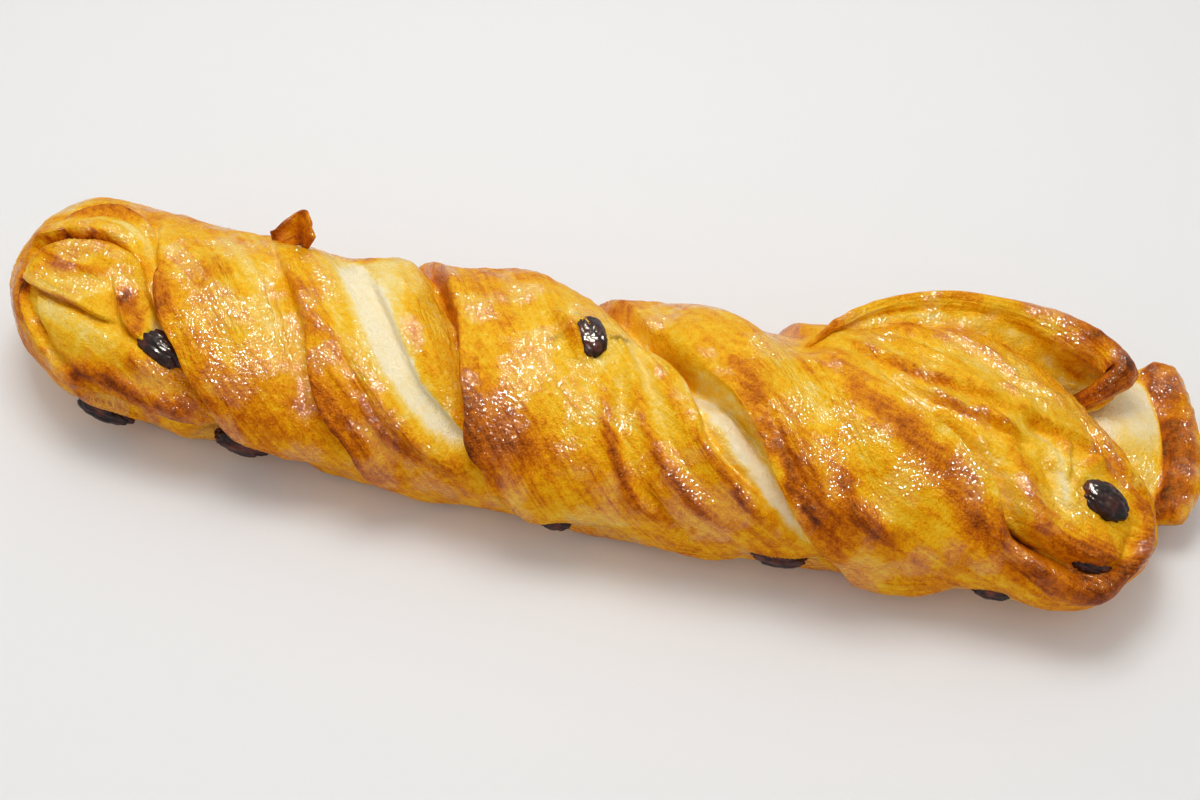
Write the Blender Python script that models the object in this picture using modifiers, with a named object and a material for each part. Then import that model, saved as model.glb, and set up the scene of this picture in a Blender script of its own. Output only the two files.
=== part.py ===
"""Danish twist with raisins: a folded strip of laminated dough, twisted twice round and baked flat on a tray.

The twist lies along X and rests on Z = 0. Its left end is rolled shut, and its right end opens into a
fan with a cupped ear and a loose flap. Sizes and places are in millimetres, and MM turns them into metres.
A place on the twist is a station, x, and an angle round it, in degrees: 0 looks along +Y, 90 is the top
and 180 looks along -Y.
"""

import math

import bmesh
import bpy
import numpy as np
from mathutils import Matrix, Vector

MM = 0.001

# Driving dimensions of the twist.
LEFT_TIP = -144.5
RIGHT_TIP = 123.5
LEFT_ROUNDING = 27.0
RIGHT_ROUNDING = 30.0
STATION_ROUNDING = 8.0

# Stations along the twist: (x, value).
HALF_WIDTH = (
    (-146, 26.5), (-120, 26.0), (-60, 26.5), (20, 27.5), (60, 29.0), (80, 30.5), (96, 28.0), (112, 24.0),
    (125, 22.0),
)
FLATNESS = ((-146, 0.72), (60, 0.72), (85, 0.58), (110, 0.52), (125, 0.52))
CENTRE_Y = (
    (-134, 9.0), (-120, 5.5), (-100, 3.0), (-60, 2.0), (20, 2.0), (60, 6.4), (80, 10.0), (96, 8.5), (112, 4.0),
    (125, 1.5),
)
CENTRE_Z = ((-146, 19.0), (-100, 18.5), (60, 19.5), (85, 18.0), (110, 15.5), (125, 13.0))
TWIST_RATE = ((-146, 0.0), (-118, 0.0), (-98, 2.2), (20, 2.3), (68, 1.6), (125, 1.0))

# The mesh: rings along the twist and strands round it.
RINGS = 98
STRANDS = 46
TOP_CROWDING = 0.25
CROWDED_ANGLE = 115.0
EAR_STATIONS = 18
EAR_ROWS = 5
FLAP_STATIONS = 7

# A lip's step spreads over this much dough on each side of its edge, and the raised dough is then smoothed
# by this share.
LIP_STEP = 2.6
DOUGH_SMOOTHING = 0.5

# The underside: fuller than the top, then pressed flat, with folds that fade into it.
UNDER_FULLNESS = 1.28
SOLE_ROUNDING = 2.0
SOLE_RELIEF = 0.15
SOLE_FADE = (-2.0, 7.0)

# Lips: (name, lift, drop, reach of the lift, reach of the drop, points). A lip is the edge of one lap of
# dough over the next. It stands up on its left, seen from outside when followed from its first point. Its
# points, and those of the ridges, are (x, angle, strength).
LIPS = (
    ("end_rim", 3.0, 5.2, 6.5, 4.2,
     ((-137, 106, 0), (-131, 93, 1), (-124, 86, 1), (-115, 84, 1), (-112, 86, 0.8), (-109, 92, 0.2))),
    ("end_curl", 1.8, 3.4, 5.0, 4.5,
     ((-136, 112, 0), (-132, 117, 1), (-122, 122, 1), (-115, 124, 1), (-109, 126, 0.5), (-106, 128, 0))),
    ("end_side", 1.6, 2.2, 4.5, 4.0,
     ((-113, 168, 0.3), (-121, 164, 1), (-130, 150, 1), (-134, 141, 1), (-136, 128, 0.8), (-137, 118, 0))),
    ("end_hem", 1.8, 1.8, 5.0, 5.0,
     ((-124, 178, 0), (-118, 177, 0.8), (-105, 174, 1), (-91, 180, 1), (-84, 186, 0.6), (-78, 194, 0))),
    ("first_lap", 3.4, 3.4, 13.0, 6.0,
     ((-112, 50, 0.1), (-106, 78, 0.3), (-101, 105, 0.9), (-95, 122, 1), (-89, 142, 1), (-83, 159, 1),
      (-76, 180, 1), (-70, 193, 1), (-60, 218, 0.9), (-46, 255, 0.8), (-22, 320, 0.8), (-4, 380, 0.8),
      (8, 425, 1), (18, 443, 1), (28, 464, 1), (35, 483, 1), (40, 504, 1), (46, 524, 0.8), (56, 552, 0.5),
      (64, 580, 0.3))),
    ("ridge_lap", 2.8, 2.2, 5.5, 5.5,
     ((-80, 62, 0.3), (-74, 80, 0.4), (-69, 95, 0.6), (-62, 125, 1), (-54, 156, 1), (-49, 168, 1),
      (-42, 198, 0.9), (-26, 240, 0.7), (0, 320, 0.3))),
    ("under_lap", 1.8, 3.6, 5.0, 7.0,
     ((-58, 62, 0), (-54, 72, 0.5), (-50, 82, 1), (-42, 107, 1), (-36, 123, 1), (-29, 136, 1),
      (-22, 151, 0.6))),
    ("second_lap", 3.6, 3.0, 13.0, 5.5,
     ((-66, -40, 0.4), (-55, 0, 0.6), (-46, 34, 0.8), (-39, 62, 1), (-32, 88, 1), (-29, 104, 1),
      (-24, 133, 1), (-21, 152, 1), (-16, 176, 1), (-11, 186, 1), (8, 245, 0.9), (26, 320, 0.7),
      (36, 372, 0.6), (46, 412, 0))),
    ("open_edge", 1.4, 2.4, 4.5, 4.5,
     ((46, 166, 0), (39, 151, 0.8), (30, 134, 1), (24, 115, 1), (19, 96, 1), (11, 77, 0.8), (7, 66, 0))),
    ("fan_lap", 2.2, 3.0, 8.0, 4.5,
     ((110, 164, 0), (102, 158, 0.8), (92, 148, 1), (88, 132, 1), (86, 124, 1), (76, 108, 0.9), (63, 91, 0.5),
      (55, 76, 0))),
    ("fan_layer", 1.6, 1.6, 4.0, 4.0,
     ((48, 60, 0), (54, 65, 0.8), (61, 72, 1), (68, 77, 1), (75, 80, 1), (82, 83, 0.8), (89, 86, 0))),
)

# Ridges and, with a height below zero, grooves: (name, height, half width, points).
RIDGES = (
    # The crowns of the laps and the hollows between them, which make the outline wavy.
    ("crown_one", 2.2, 5.0, ((-62, 10, 0.3), (-52, 38, 1), (-46, 60, 0.4))),
    ("back_hollow_one", -2.0, 5.0, ((-54, 6, 0.4), (-41, 36, 1), (-36, 54, 0.2))),
    ("crown_two", 3.4, 7.5, ((-34, 0, 0.5), (-24, 32, 1), (-17, 55, 0.9), (-10, 80, 0.5), (-4, 100, 0))),
    ("back_hollow_two", -2.8, 5.0, ((-8, 16, 0.4), (4, 48, 1), (9, 62, 0.6), (14, 76, 0))),
    ("crown_three", 2.4, 6.0, ((8, 10, 0.3), (20, 42, 1), (27, 62, 0.9), (34, 84, 0.2))),
    ("back_hollow_three", -3.0, 6.0, ((28, 26, 0.3), (40, 58, 1), (46, 76, 0.2))),
    ("front_crown", 1.0, 6.0, ((-112, 206, 0), (-104, 206, 1), (-96, 206, 1), (-88, 206, 0))),
    ("front_hollow_one", -3.2, 6.0, ((-86, 206, 0), (-78, 204, 1), (-60, 206, 1), (-48, 206, 0))),
    ("front_hollow_two", -2.6, 6.0, ((-10, 206, 0), (-2, 206, 1), (8, 206, 1), (16, 206, 0))),
    ("loop_hang", 2.6, 5.0, ((94, 190, 0), (102, 190, 1), (111, 190, 1), (117, 186, 0))),
    ("plate", 2.4, 9.0, ((-126, 136, 0.4), (-117, 138, 1), (-108, 142, 1), (-100, 148, 0.5))),
    ("roll_hollow", -1.6, 4.0,
     ((-82, 66, 0.3), (-75, 91, 1), (-70, 108, 1), (-62, 136, 1), (-55, 160, 0.5), (-50, 176, 0))),
    ("roll_side", 1.6, 3.2,
     ((-56, 108, 0), (-50, 124, 1), (-44, 137, 1), (-37, 152, 1), (-28, 166, 1), (-20, 176, 0))),
    ("open_fold", -2.6, 5.0,
     ((-65, 48, 0), (-61, 60, 0.4), (-53, 85, 1), (-40, 120, 1), (-33, 137, 1), (-26, 149, 0.6),
      (-21, 158, 0))),
    ("open_head", 1.8, 5.0, ((-66, 56, 0.6), (-60, 70, 1), (-55, 84, 0.7), (-51, 92, 0))),
    ("centre_bump", 1.4, 5.5, ((-8, 88, 0.6), (-4, 84, 1), (0, 82, 1))),
    ("fourth_ridge", 1.5, 3.0, ((1, 70, 0), (8, 100, 1), (16, 132, 1), (28, 162, 1), (36, 178, 0))),
    ("open_fold_two", -2.6, 3.4, ((9, 70, 0.3), (14, 79, 1), (19, 88, 1), (23, 97, 1), (27, 106, 0.5))),
    ("fifth_ridge", 1.3, 3.0, ((25, 84, 0), (32, 97, 1), (42, 121, 1), (47, 134, 1), (52, 150, 0.6))),
    ("band_hollow", -1.8, 4.5,
     ((34, 64, 0), (40, 78, 1), (51, 110, 1), (57, 127, 1), (63, 143, 0.6), (68, 152, 0))),
    ("band_crown", 2.0, 8.0,
     ((44, 68, 0.4), (54, 94, 1), (63, 112, 1), (71, 126, 1), (78, 137, 1), (85, 148, 0.6))),
    ("fan_ridge", 2.4, 3.2,
     ((86, 98, 0), (93, 117, 1), (96, 128, 1), (100, 137, 1), (105, 140, 1), (111, 136, 0.8), (115, 126, 0))),
    ("fan_groove", -2.2, 3.0, ((84, 104, 0), (87, 114, 1), (91, 127, 1), (94, 138, 1), (97, 143, 0.3))),
    ("fan_pocket", -2.8, 3.0, ((88, 86, 0), (95, 88, 1), (100, 91, 1), (104, 95, 0.4))),
    ("loop_rim", 2.0, 3.4,
     ((103, 104, 0), (105, 92, 0.8), (110, 75, 1), (118, 81, 1), (120, 96, 1), (120, 124, 1), (117, 150, 1),
      (107, 168, 1), (93, 152, 0))),
    ("loop_groove", -2.0, 3.0,
     ((96, 140, 0), (103, 154, 1), (108, 159, 1), (113, 154, 1), (116, 138, 1), (117, 118, 0.6),
      (116, 106, 0))),
)

# The ear: a wall of dough round the back of the fan that hooks round at the right to make a hood.
# Each station is (x, y, z of its foot, x, y, z of its rim).
EAR = (
    (38, 12, 30, 43, 19, 35), (44, 17, 29, 48, 27, 37), (53, 22, 28, 54, 34, 36.5), (62, 26, 27, 62, 39.5, 36),
    (71, 28, 25, 71, 43.5, 35), (80, 31, 22, 80, 45.5, 33.5), (89, 35, 17, 89, 46.5, 32),
    (97, 38, 13, 97.5, 46, 30.5), (104, 39.5, 12, 104.5, 43, 29.5), (108, 37, 13, 109.5, 38, 28),
    (106, 32.5, 13, 106.5, 34, 24.5), (101, 30, 11, 101, 33.5, 18), (94, 29, 9, 94, 32, 13),
)
EAR_FOOT = -0.35
EAR_BOW = 1.6
EAR_THICKNESS = 3.6

# The pale dough at the bottom of the hood: its middle and its half sizes.
HOOD_FLOOR_PLACE = (95.0, 30.0, 9.0)
HOOD_FLOOR_SIZE = (17.0, 12.0, 8.8)

# The flap under the fan: a plate with its baked hem turned up. Each station is (x, y, z of its inner end,
# x, y, z of its outer end).
FLAP = (
    (96, 36, 8.5, 112, 49, 10), (98, 30, 9, 122, 49, 11), (99, 24, 9, 126.5, 40, 10.5),
    (100, 18, 8.5, 129, 30, 9.5), (100, 10, 7.5, 128.5, 20, 8.5), (98, 5, 6.5, 126, 13, 7),
)
FLAP_THICKNESS = 6.0
FLAP_LOWEST = 5.5
HEM_HEIGHT = 2.6
HEM_WIDTH = 0.25

# A crisp scrap of dough on the back of the first lap: where it is, and its size along, across and up.
SCRAP_PLACE = (-77.6, 21.5, 35.5)
SCRAP_SIZE = (8.5, 3.4, 11.0)

# Raisins: (name, x, angle, depth under the skin, turn on the skin, length, width, thickness).
RAISINS = (
    ("raisin_left_top", -96.5, 137, 0.3, 22, 12.0, 7.5, 6.5),
    ("raisin_left_low", -112.0, 202, 0.0, 7, 13.5, 6.2, 5.4),
    ("raisin_left_under", -78.5, 206, -1.4, 6, 13.5, 7.0, 6.6),
    ("raisin_second_lap", -20.0, 158, 0.6, 55, 7.5, 4.5, 4.5),
    ("raisin_centre", -4.0, 85, 1.1, 60, 11.5, 8.5, 7.0),
    ("raisin_middle_low", -4.0, 200, 0.9, 10, 7.5, 5.0, 4.5),
    ("raisin_fold_low", 45.5, 198, 0.8, 8, 12.0, 6.0, 5.0),
    ("raisin_band", 64.5, 155, 1.3, 70, 6.0, 4.2, 4.2),
    ("raisin_loop", 110.0, 104, 0.0, 14, 11.5, 8.0, 7.0),
    ("raisin_loop_low", 110.0, 151, 1.0, 8, 9.5, 4.5, 5.0),
    ("raisin_right_under", 91.0, 199, 0.8, 8, 9.0, 5.5, 4.5),
)
POCKET_GAP = 0.35


def station_value(x, stations):
    """The value at x: straight between the stations, with its corners rounded."""
    places, values = np.array(stations, float).T
    around = np.linspace(-STATION_ROUNDING, STATION_ROUNDING, 9)
    return np.mean([np.interp(x + offset, places, values) for offset in around], axis=0)


def end_rounding(x):
    """1 along the twist, falling to 0 at its two tips, as an ellipse does."""
    left = np.clip((LEFT_TIP + LEFT_ROUNDING - x) / LEFT_ROUNDING, 0, 1)
    right = np.clip((x - RIGHT_TIP + RIGHT_ROUNDING) / RIGHT_ROUNDING, 0, 1)
    return np.sqrt((1 - left**2) * (1 - right**2))


def skin(x, angle):
    """The points of the plain twist, without its folds, at stations x and angles in degrees."""
    width = station_value(x, HALF_WIDTH) * end_rounding(x)
    height = width * station_value(x, FLATNESS)
    turn = np.radians(angle)
    y = station_value(x, CENTRE_Y) + width * np.cos(turn)
    z = station_value(x, CENTRE_Z) + height * np.sin(turn) * np.where(np.sin(turn) < 0, UNDER_FULLNESS, 1.0)
    return np.stack([x, y, z], axis=-1)


def unit(vectors):
    return vectors / (np.linalg.norm(vectors, axis=-1, keepdims=True) + 1e-12)


def skin_normal(x, angle):
    """The outward direction of the plain twist, from the points next to each one."""
    step = 0.2
    inside = np.clip(x, LEFT_TIP + step + 0.05, RIGHT_TIP - step - 0.05)
    along = skin(inside + step, angle) - skin(inside - step, angle)
    around = skin(inside, angle + step) - skin(inside, angle - step)
    normal = unit(np.cross(around, along))
    tip = np.where(x < (LEFT_TIP + RIGHT_TIP) / 2, -1.0, 1.0)
    at_tip = end_rounding(x) < 0.02
    normal[at_tip] = np.stack([tip, 0 * tip, 0 * tip], axis=-1)[at_tip]
    return normal


def smooth_step(value, low, high):
    t = np.clip((value - low) / (high - low), 0, 1)
    return t * t * (3 - 2 * t)


def smooth_line(points, pieces=5):
    """A smooth line through the points, by Catmull-Rom."""
    knots = np.array(points, float)
    knots = np.vstack([2 * knots[0] - knots[1], knots, 2 * knots[-1] - knots[-2]])
    share = np.linspace(0, 1, pieces, endpoint=False)[:, None]
    line = []
    for a, b, c, d in zip(knots, knots[1:], knots[2:], knots[3:]):
        bend = 2 * b + (c - a) * share + (2 * a - 5 * b + 4 * c - d) * share**2
        line.append((bend + (3 * b - a - 3 * c + d) * share**3) / 2)
    return np.vstack(line + [knots[-2:-1]])


def fold_distance(places, points):
    """How far each place is from a fold on the plain twist, above zero on its left, and its strength there."""
    line = smooth_line(points)
    centre, strength = skin(line[:, 0], line[:, 1]), line[:, 2]
    out = skin_normal(line[:, 0], line[:, 1])
    distance = np.full(len(places), 1e3)
    strong = np.zeros(len(places))
    for index, run in enumerate(np.diff(centre, axis=0)):
        offset = places - centre[index]
        share = np.clip(offset @ run / (run @ run), 0, 1)
        gap = offset - share[:, None] * run
        away = np.linalg.norm(gap, axis=1)
        closer = away < np.abs(distance)
        left = gap[closer] @ np.cross(out[index], run) >= 0
        distance[closer] = np.where(left, away[closer], -away[closer])
        strong[closer] = strength[index] + share[closer] * (strength[index + 1] - strength[index])
    return distance, strong


def lip_height(distance, lift, drop, lift_reach, drop_reach):
    """Height across a lip: up to its edge on the left, then a step down to the dough beneath."""
    over = smooth_step(distance, -LIP_STEP, LIP_STEP)
    raised = lift * np.exp(-((distance / lift_reach) ** 2))
    sunk = drop * np.exp(-((distance / drop_reach) ** 2))
    return over * raised - (1 - over) * sunk


def fold_height(places):
    """The height of all folds together over these places on the plain twist."""
    height = np.zeros(len(places))
    for _, lift, drop, lift_reach, drop_reach, points in LIPS:
        distance, strength = fold_distance(places, points)
        height += lip_height(distance, lift, drop, lift_reach, drop_reach) * strength
    for _, ridge, half_width, points in RIDGES:
        distance, strength = fold_distance(places, points)
        height += ridge * np.exp(-((distance / half_width) ** 2)) * strength
    return height


def pressed(z):
    """Heights with all that is below the tray brought up to it, and a rounded edge where it lifts off."""
    rounded = (z + SOLE_ROUNDING) ** 2 / (4 * SOLE_ROUNDING)
    return np.where(z < -SOLE_ROUNDING, 0.0, np.where(z > SOLE_ROUNDING, z, rounded))


def dough_points(x, angle):
    """The surface of the twist with its folds, pressed flat where it rests on the tray."""
    plain = skin(x, angle)
    relief = SOLE_RELIEF + (1 - SOLE_RELIEF) * smooth_step(plain[:, 2], *SOLE_FADE)
    tips = smooth_step(end_rounding(x), 0.05, 0.45)
    raised = plain + skin_normal(x, angle) * (fold_height(plain) * relief * tips)[:, None]
    raised[:, 2] = pressed(raised[:, 2])
    return raised


def ring_stations(count):
    """Ring stations from tip to tip, evenly spaced along the outline, so that the round ends get enough."""
    x = np.linspace(LEFT_TIP, RIGHT_TIP, 4001)
    outline = station_value(x, HALF_WIDTH) * end_rounding(x)
    run = np.concatenate([[0], np.cumsum(np.hypot(np.diff(x), np.diff(outline)))])
    return np.interp(np.linspace(0, run[-1], count), run, x)


def strand_turn(x):
    """How far the strands have turned at station x, in degrees."""
    stations = np.linspace(LEFT_TIP, RIGHT_TIP, 400)
    turned = np.cumsum(station_value(stations, TWIST_RATE)) * (stations[1] - stations[0])
    return np.interp(x, stations, turned)


def new_object(name, mesh_builder, collection, material=None):
    """An object whose mesh comes out of a bmesh."""
    mesh = bpy.data.meshes.new(name)
    mesh_builder.to_mesh(mesh)
    mesh_builder.free()
    if material:
        mesh.materials.append(material)
    made = bpy.data.objects.new(name, mesh)
    collection.objects.link(made)
    return made


def place_vertices(mesh_builder, points_mm):
    for vertex, point in zip(mesh_builder.verts, points_mm):
        vertex.co = Vector(point) * MM


def twist_body():
    """A ball whose rings and meridians become the twist's rings and strands."""
    body = bmesh.new()
    bmesh.ops.create_uvsphere(body, u_segments=STRANDS, v_segments=RINGS, radius=1.0)
    places = np.array([vertex.co for vertex in body.verts], float)
    ring = np.degrees(np.arccos(np.clip(places[:, 2], -1, 1))) / 180 * RINGS
    x = ring_stations(RINGS + 1)[np.rint(ring).astype(int)]
    angle = np.degrees(np.arctan2(places[:, 1], places[:, 0])) + strand_turn(x)
    angle -= np.degrees(TOP_CROWDING * np.sin(np.radians(angle - CROWDED_ANGLE)))
    place_vertices(body, dough_points(x, np.mod(angle, 360)))
    bmesh.ops.smooth_vert(
        body, verts=body.verts, factor=DOUGH_SMOOTHING, use_axis_x=True, use_axis_y=True, use_axis_z=True
    )
    bmesh.ops.reverse_faces(body, faces=body.faces)
    return body


def resampled(points, count):
    """Evenly spaced points on the smooth line through the given ones."""
    knots = np.array(points, float)
    fine = np.linspace(0, len(knots) - 1, 200)
    line = np.stack([np.interp(fine, range(len(knots)), column) for column in knots.T], axis=-1)
    kernel = np.ones(31) / 31
    padded = np.pad(line, ((15, 15), (0, 0)), mode="reflect", reflect_type="odd")
    line = np.stack([np.convolve(column, kernel, mode="valid") for column in padded.T], axis=-1)
    run = np.concatenate([[0], np.cumsum(np.linalg.norm(np.diff(line, axis=0), axis=1))])
    at = np.linspace(0, run[-1], count)
    return np.stack([np.interp(at, run, column) for column in line.T], axis=-1)


def thick_sheet(name, points, thickness, collection):
    """A sheet of dough: a grid laid on its points, given a thickness and rounded edges."""
    across, along = points.shape[:2]
    grid = bmesh.new()
    bmesh.ops.create_grid(grid, x_segments=along - 1, y_segments=across - 1, size=1.0)
    for vertex in grid.verts:
        column = round((vertex.co.x + 1) / 2 * (along - 1))
        row = round((vertex.co.y + 1) / 2 * (across - 1))
        vertex.co = Vector(points[row, column]) * MM
    sheet = new_object(name, grid, collection)
    wall = sheet.modifiers.new("wall", "SOLIDIFY")
    wall.thickness = thickness * MM
    wall.offset = 0.0
    rounding = sheet.modifiers.new("rounding", "SUBSURF")
    rounding.levels = rounding.render_levels = 1
    return sheet


def ear(collection):
    """The ear: stations along it, each with a wall that rises from its foot to its rim and bows outwards."""
    stations = resampled(EAR, EAR_STATIONS)
    foot, rim = stations[:, :3], stations[:, 3:]
    along = np.gradient(foot, axis=0)
    out = unit(np.stack([-along[:, 1], along[:, 0], 0 * along[:, 0]], axis=-1))
    rows = []
    for share in np.linspace(EAR_FOOT, 1, EAR_ROWS):
        bow = EAR_BOW * math.sin(math.pi * max(share, 0))
        rows.append(foot + (rim - foot) * share + out * bow)
    return thick_sheet("ear", np.array(rows), EAR_THICKNESS, collection)


def hood_floor(collection):
    """The dough that fills the foot of the ear and shows, pale, at the bottom of its hood."""
    floor = bmesh.new()
    bmesh.ops.create_uvsphere(floor, u_segments=14, v_segments=8, radius=1.0)
    points = np.array([vertex.co for vertex in floor.verts]) * HOOD_FLOOR_SIZE + HOOD_FLOOR_PLACE
    place_vertices(floor, points)
    return new_object("hood_floor", floor, collection)


def flap(collection):
    """The flap: a flat sheet whose outer end swells into the baked hem."""
    stations = resampled(FLAP, FLAP_STATIONS)
    inner, outer = stations[:, :3], stations[:, 3:]
    rows = []
    for share in np.linspace(0, 1, FLAP_STATIONS):
        row = inner + (outer - inner) * share
        hem = HEM_HEIGHT * math.exp(-(((1 - share) / HEM_WIDTH) ** 2))
        row[:, 2] = np.maximum(row[:, 2] + hem, FLAP_LOWEST)
        rows.append(row)
    return thick_sheet("flap", np.array(rows), FLAP_THICKNESS, collection)


def scrap(collection):
    """The crisp scrap: a small bent chip that stands up from the back of the twist."""
    long, thick, tall = SCRAP_SIZE
    chip = bmesh.new()
    bmesh.ops.create_uvsphere(chip, u_segments=8, v_segments=6, radius=0.5)
    for vertex in chip.verts:
        lean = 2.5 * vertex.co.z
        vertex.co = Vector((vertex.co.x * long + lean, vertex.co.y * thick + lean, vertex.co.z * tall))
        vertex.co = (vertex.co + Vector(SCRAP_PLACE)) * MM
    return new_object("scrap", chip, collection)


def raisin_frame(x, angle, depth, turn):
    """Where a raisin lies: its centre under the skin, and its axes along, across and out of the skin."""
    place = (np.array([x]), np.array([angle], float))
    centre = Vector(dough_points(*place)[0])
    out = Vector(skin_normal(*place)[0])
    along = Vector((1, 0, 0))
    along = (along - out * along.dot(out)).normalized()
    along.rotate(Matrix.Rotation(math.radians(-turn), 3, out))
    across = out.cross(along)
    return centre - out * depth, along, across, out


def raisin(name, x, angle, depth, turn, length, width, thickness, grow, collection, material=None):
    """A raisin, or the larger shape that makes room for it: a ball, squashed and creased."""
    centre, along, across, out = raisin_frame(x, angle, depth, turn)
    ball = bmesh.new()
    bmesh.ops.create_uvsphere(ball, u_segments=10, v_segments=7, radius=1.0)
    bmesh.ops.rotate(ball, verts=ball.verts, matrix=Matrix.Rotation(math.pi / 2, 3, "Y"))
    for vertex in ball.verts:
        around = math.atan2(vertex.co.z, vertex.co.y)
        crease = 1 + 0.05 * math.cos(3 * around + 2 * vertex.co.x) * (1 - abs(vertex.co.x))
        shape = Vector((
            vertex.co.x * (length / 2 + grow),
            vertex.co.y * (width / 2 + grow) * crease,
            vertex.co.z * (thickness / 2 + grow) * crease,
        ))
        vertex.co = (centre + along * shape.x + across * shape.y + out * shape.z) * MM
    return new_object(name, ball, collection, material)


def add_boolean(target, operation, others):
    cut = target.modifiers.new(operation.lower(), "BOOLEAN")
    cut.operation = operation
    cut.operand_type = "COLLECTION"
    cut.collection = others
    cut.solver = "EXACT"
    return cut


def apply_modifiers(target):
    """Keeps the evaluated mesh in place of the modifiers."""
    graph = bpy.context.evaluated_depsgraph_get()
    evaluated = target.evaluated_get(graph)
    mesh = bpy.data.meshes.new_from_object(evaluated, depsgraph=graph)
    target.modifiers.clear()
    target.data = mesh


def principled(name, colour, roughness, coat):
    material = bpy.data.materials.new(name)
    material.use_nodes = True
    shader = material.node_tree.nodes["Principled BSDF"]
    shader.inputs["Base Color"].default_value = (*colour, 1)
    shader.inputs["Roughness"].default_value = roughness
    shader.inputs["Metallic"].default_value = 0.0
    shader.inputs["Coat Weight"].default_value = coat
    material.diffuse_color = (*colour, 1)
    return material


def new_collection(name, helper=False):
    made = bpy.data.collections.new(name)
    bpy.context.scene.collection.children.link(made)
    made.hide_render = helper
    return made


def main():
    for found in list(bpy.data.objects):
        bpy.data.objects.remove(found, do_unlink=True)
    crust = principled("baked_crust", (0.70, 0.36, 0.07), 0.35, 0.6)
    dried = principled("raisin_skin", (0.030, 0.012, 0.012), 0.35, 0.3)
    twist = new_collection("danish_twist")
    joined = new_collection("joined", helper=True)
    pockets = new_collection("pockets", helper=True)

    dough = new_object("dough", twist_body(), twist, crust)
    for piece in (ear(joined), hood_floor(joined), flap(joined), scrap(joined)):
        piece.hide_render = True
        piece.display_type = "WIRE"
    add_boolean(dough, "UNION", joined)
    apply_modifiers(dough)
    for piece in list(joined.objects):
        bpy.data.objects.remove(piece, do_unlink=True)

    for name, *size in RAISINS:
        raisin(name, *size, 0.0, twist, dried)
        pocket = raisin(name + "_pocket", *size, POCKET_GAP, pockets)
        pocket.hide_render = True
        pocket.display_type = "WIRE"
    add_boolean(dough, "DIFFERENCE", pockets)
    for piece in twist.objects:
        piece.data.shade_smooth()


main()
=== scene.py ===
"""A danish twist with raisins: a glazed, finely blistered crust over cream folds of dough."""

import math

import bmesh
import bpy
import numpy as np
from mathutils import Matrix, Vector, noise


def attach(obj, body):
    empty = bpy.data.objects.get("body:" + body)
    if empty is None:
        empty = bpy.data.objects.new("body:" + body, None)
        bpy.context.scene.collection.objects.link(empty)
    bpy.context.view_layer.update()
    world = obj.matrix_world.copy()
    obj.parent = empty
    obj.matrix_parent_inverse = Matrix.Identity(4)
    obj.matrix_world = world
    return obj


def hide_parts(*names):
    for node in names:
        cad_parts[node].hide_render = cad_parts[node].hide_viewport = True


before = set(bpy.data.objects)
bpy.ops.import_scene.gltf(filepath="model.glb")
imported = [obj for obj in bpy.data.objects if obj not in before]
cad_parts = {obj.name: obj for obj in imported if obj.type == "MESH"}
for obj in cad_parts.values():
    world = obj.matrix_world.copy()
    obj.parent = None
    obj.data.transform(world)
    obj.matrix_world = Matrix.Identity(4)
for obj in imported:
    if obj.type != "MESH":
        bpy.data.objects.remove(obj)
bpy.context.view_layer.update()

# The camera looks down on the twist from the front, a little from the right of it, through a lens of
# normal length, as the photo does. All places below are in millimetres until mesh points are set.
MM = 0.001
CAMERA_AZIMUTH = math.radians(15)
CAMERA_ELEVATION = math.radians(50)
CAMERA_DISTANCE = 444 * MM
CAMERA_TARGET = Vector((-0.65, 2.4, 22.1)) * MM
lens = bpy.data.cameras.new("camera")
lens.lens = 60
lens.sensor_width = 36
lens.clip_start = 0.01
camera = bpy.data.objects.new("camera", lens)
camera_back = Vector((
    math.sin(CAMERA_AZIMUTH) * math.cos(CAMERA_ELEVATION),
    -math.cos(CAMERA_AZIMUTH) * math.cos(CAMERA_ELEVATION),
    math.sin(CAMERA_ELEVATION),
))
camera_right = Vector((math.cos(CAMERA_AZIMUTH), math.sin(CAMERA_AZIMUTH), 0))
camera_turn = Matrix((camera_right, camera_back.cross(camera_right), camera_back)).transposed()
camera_place = CAMERA_TARGET + camera_back * CAMERA_DISTANCE
camera.matrix_world = Matrix.Translation(camera_place) @ camera_turn.to_4x4()
bpy.context.scene.collection.objects.link(camera)
bpy.context.scene.camera = camera

# The dough: one folded strip of laminated dough, twisted twice round and baked on a tray. It is a ball whose
# rings run round the twist and whose meridians follow its strands, drawn out to the twist's sections and then
# raised and sunk along each fold. A place on it is a station, x, and an angle: 90 is on top, 180 in front.
LEFT_TIP, RIGHT_TIP = -144.5, 123.5
LEFT_ROUNDING, RIGHT_ROUNDING = 27.0, 30.0
HALF_WIDTH = (
    (-146, 26.5), (-120, 26.0), (-60, 26.5), (20, 27.5), (60, 29.0), (80, 30.5), (96, 28.0), (112, 24.0),
    (125, 22.0),
)
FLATNESS = ((-146, 0.72), (60, 0.72), (85, 0.58), (110, 0.52), (125, 0.52))
CENTRE_Y = (
    (-134, 9.0), (-120, 5.5), (-100, 3.0), (-60, 2.0), (20, 2.0), (60, 6.4), (80, 10.0), (96, 8.5),
    (112, 4.0), (125, 1.5),
)
CENTRE_Z = ((-146, 19.0), (-100, 18.5), (60, 19.5), (85, 18.0), (110, 15.5), (125, 13.0))
CORNER_ROUNDING = 8
UNDER_FULLNESS = 1.28
SOLE_ROUNDING = 2.0


def station_value(x, stations):
    """The value at x: straight between the stations, with its corners rounded."""
    places, values = np.array(stations, float).T
    around = np.linspace(-CORNER_ROUNDING, CORNER_ROUNDING, 9)
    return np.mean([np.interp(x + offset, places, values) for offset in around], axis=0)


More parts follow.
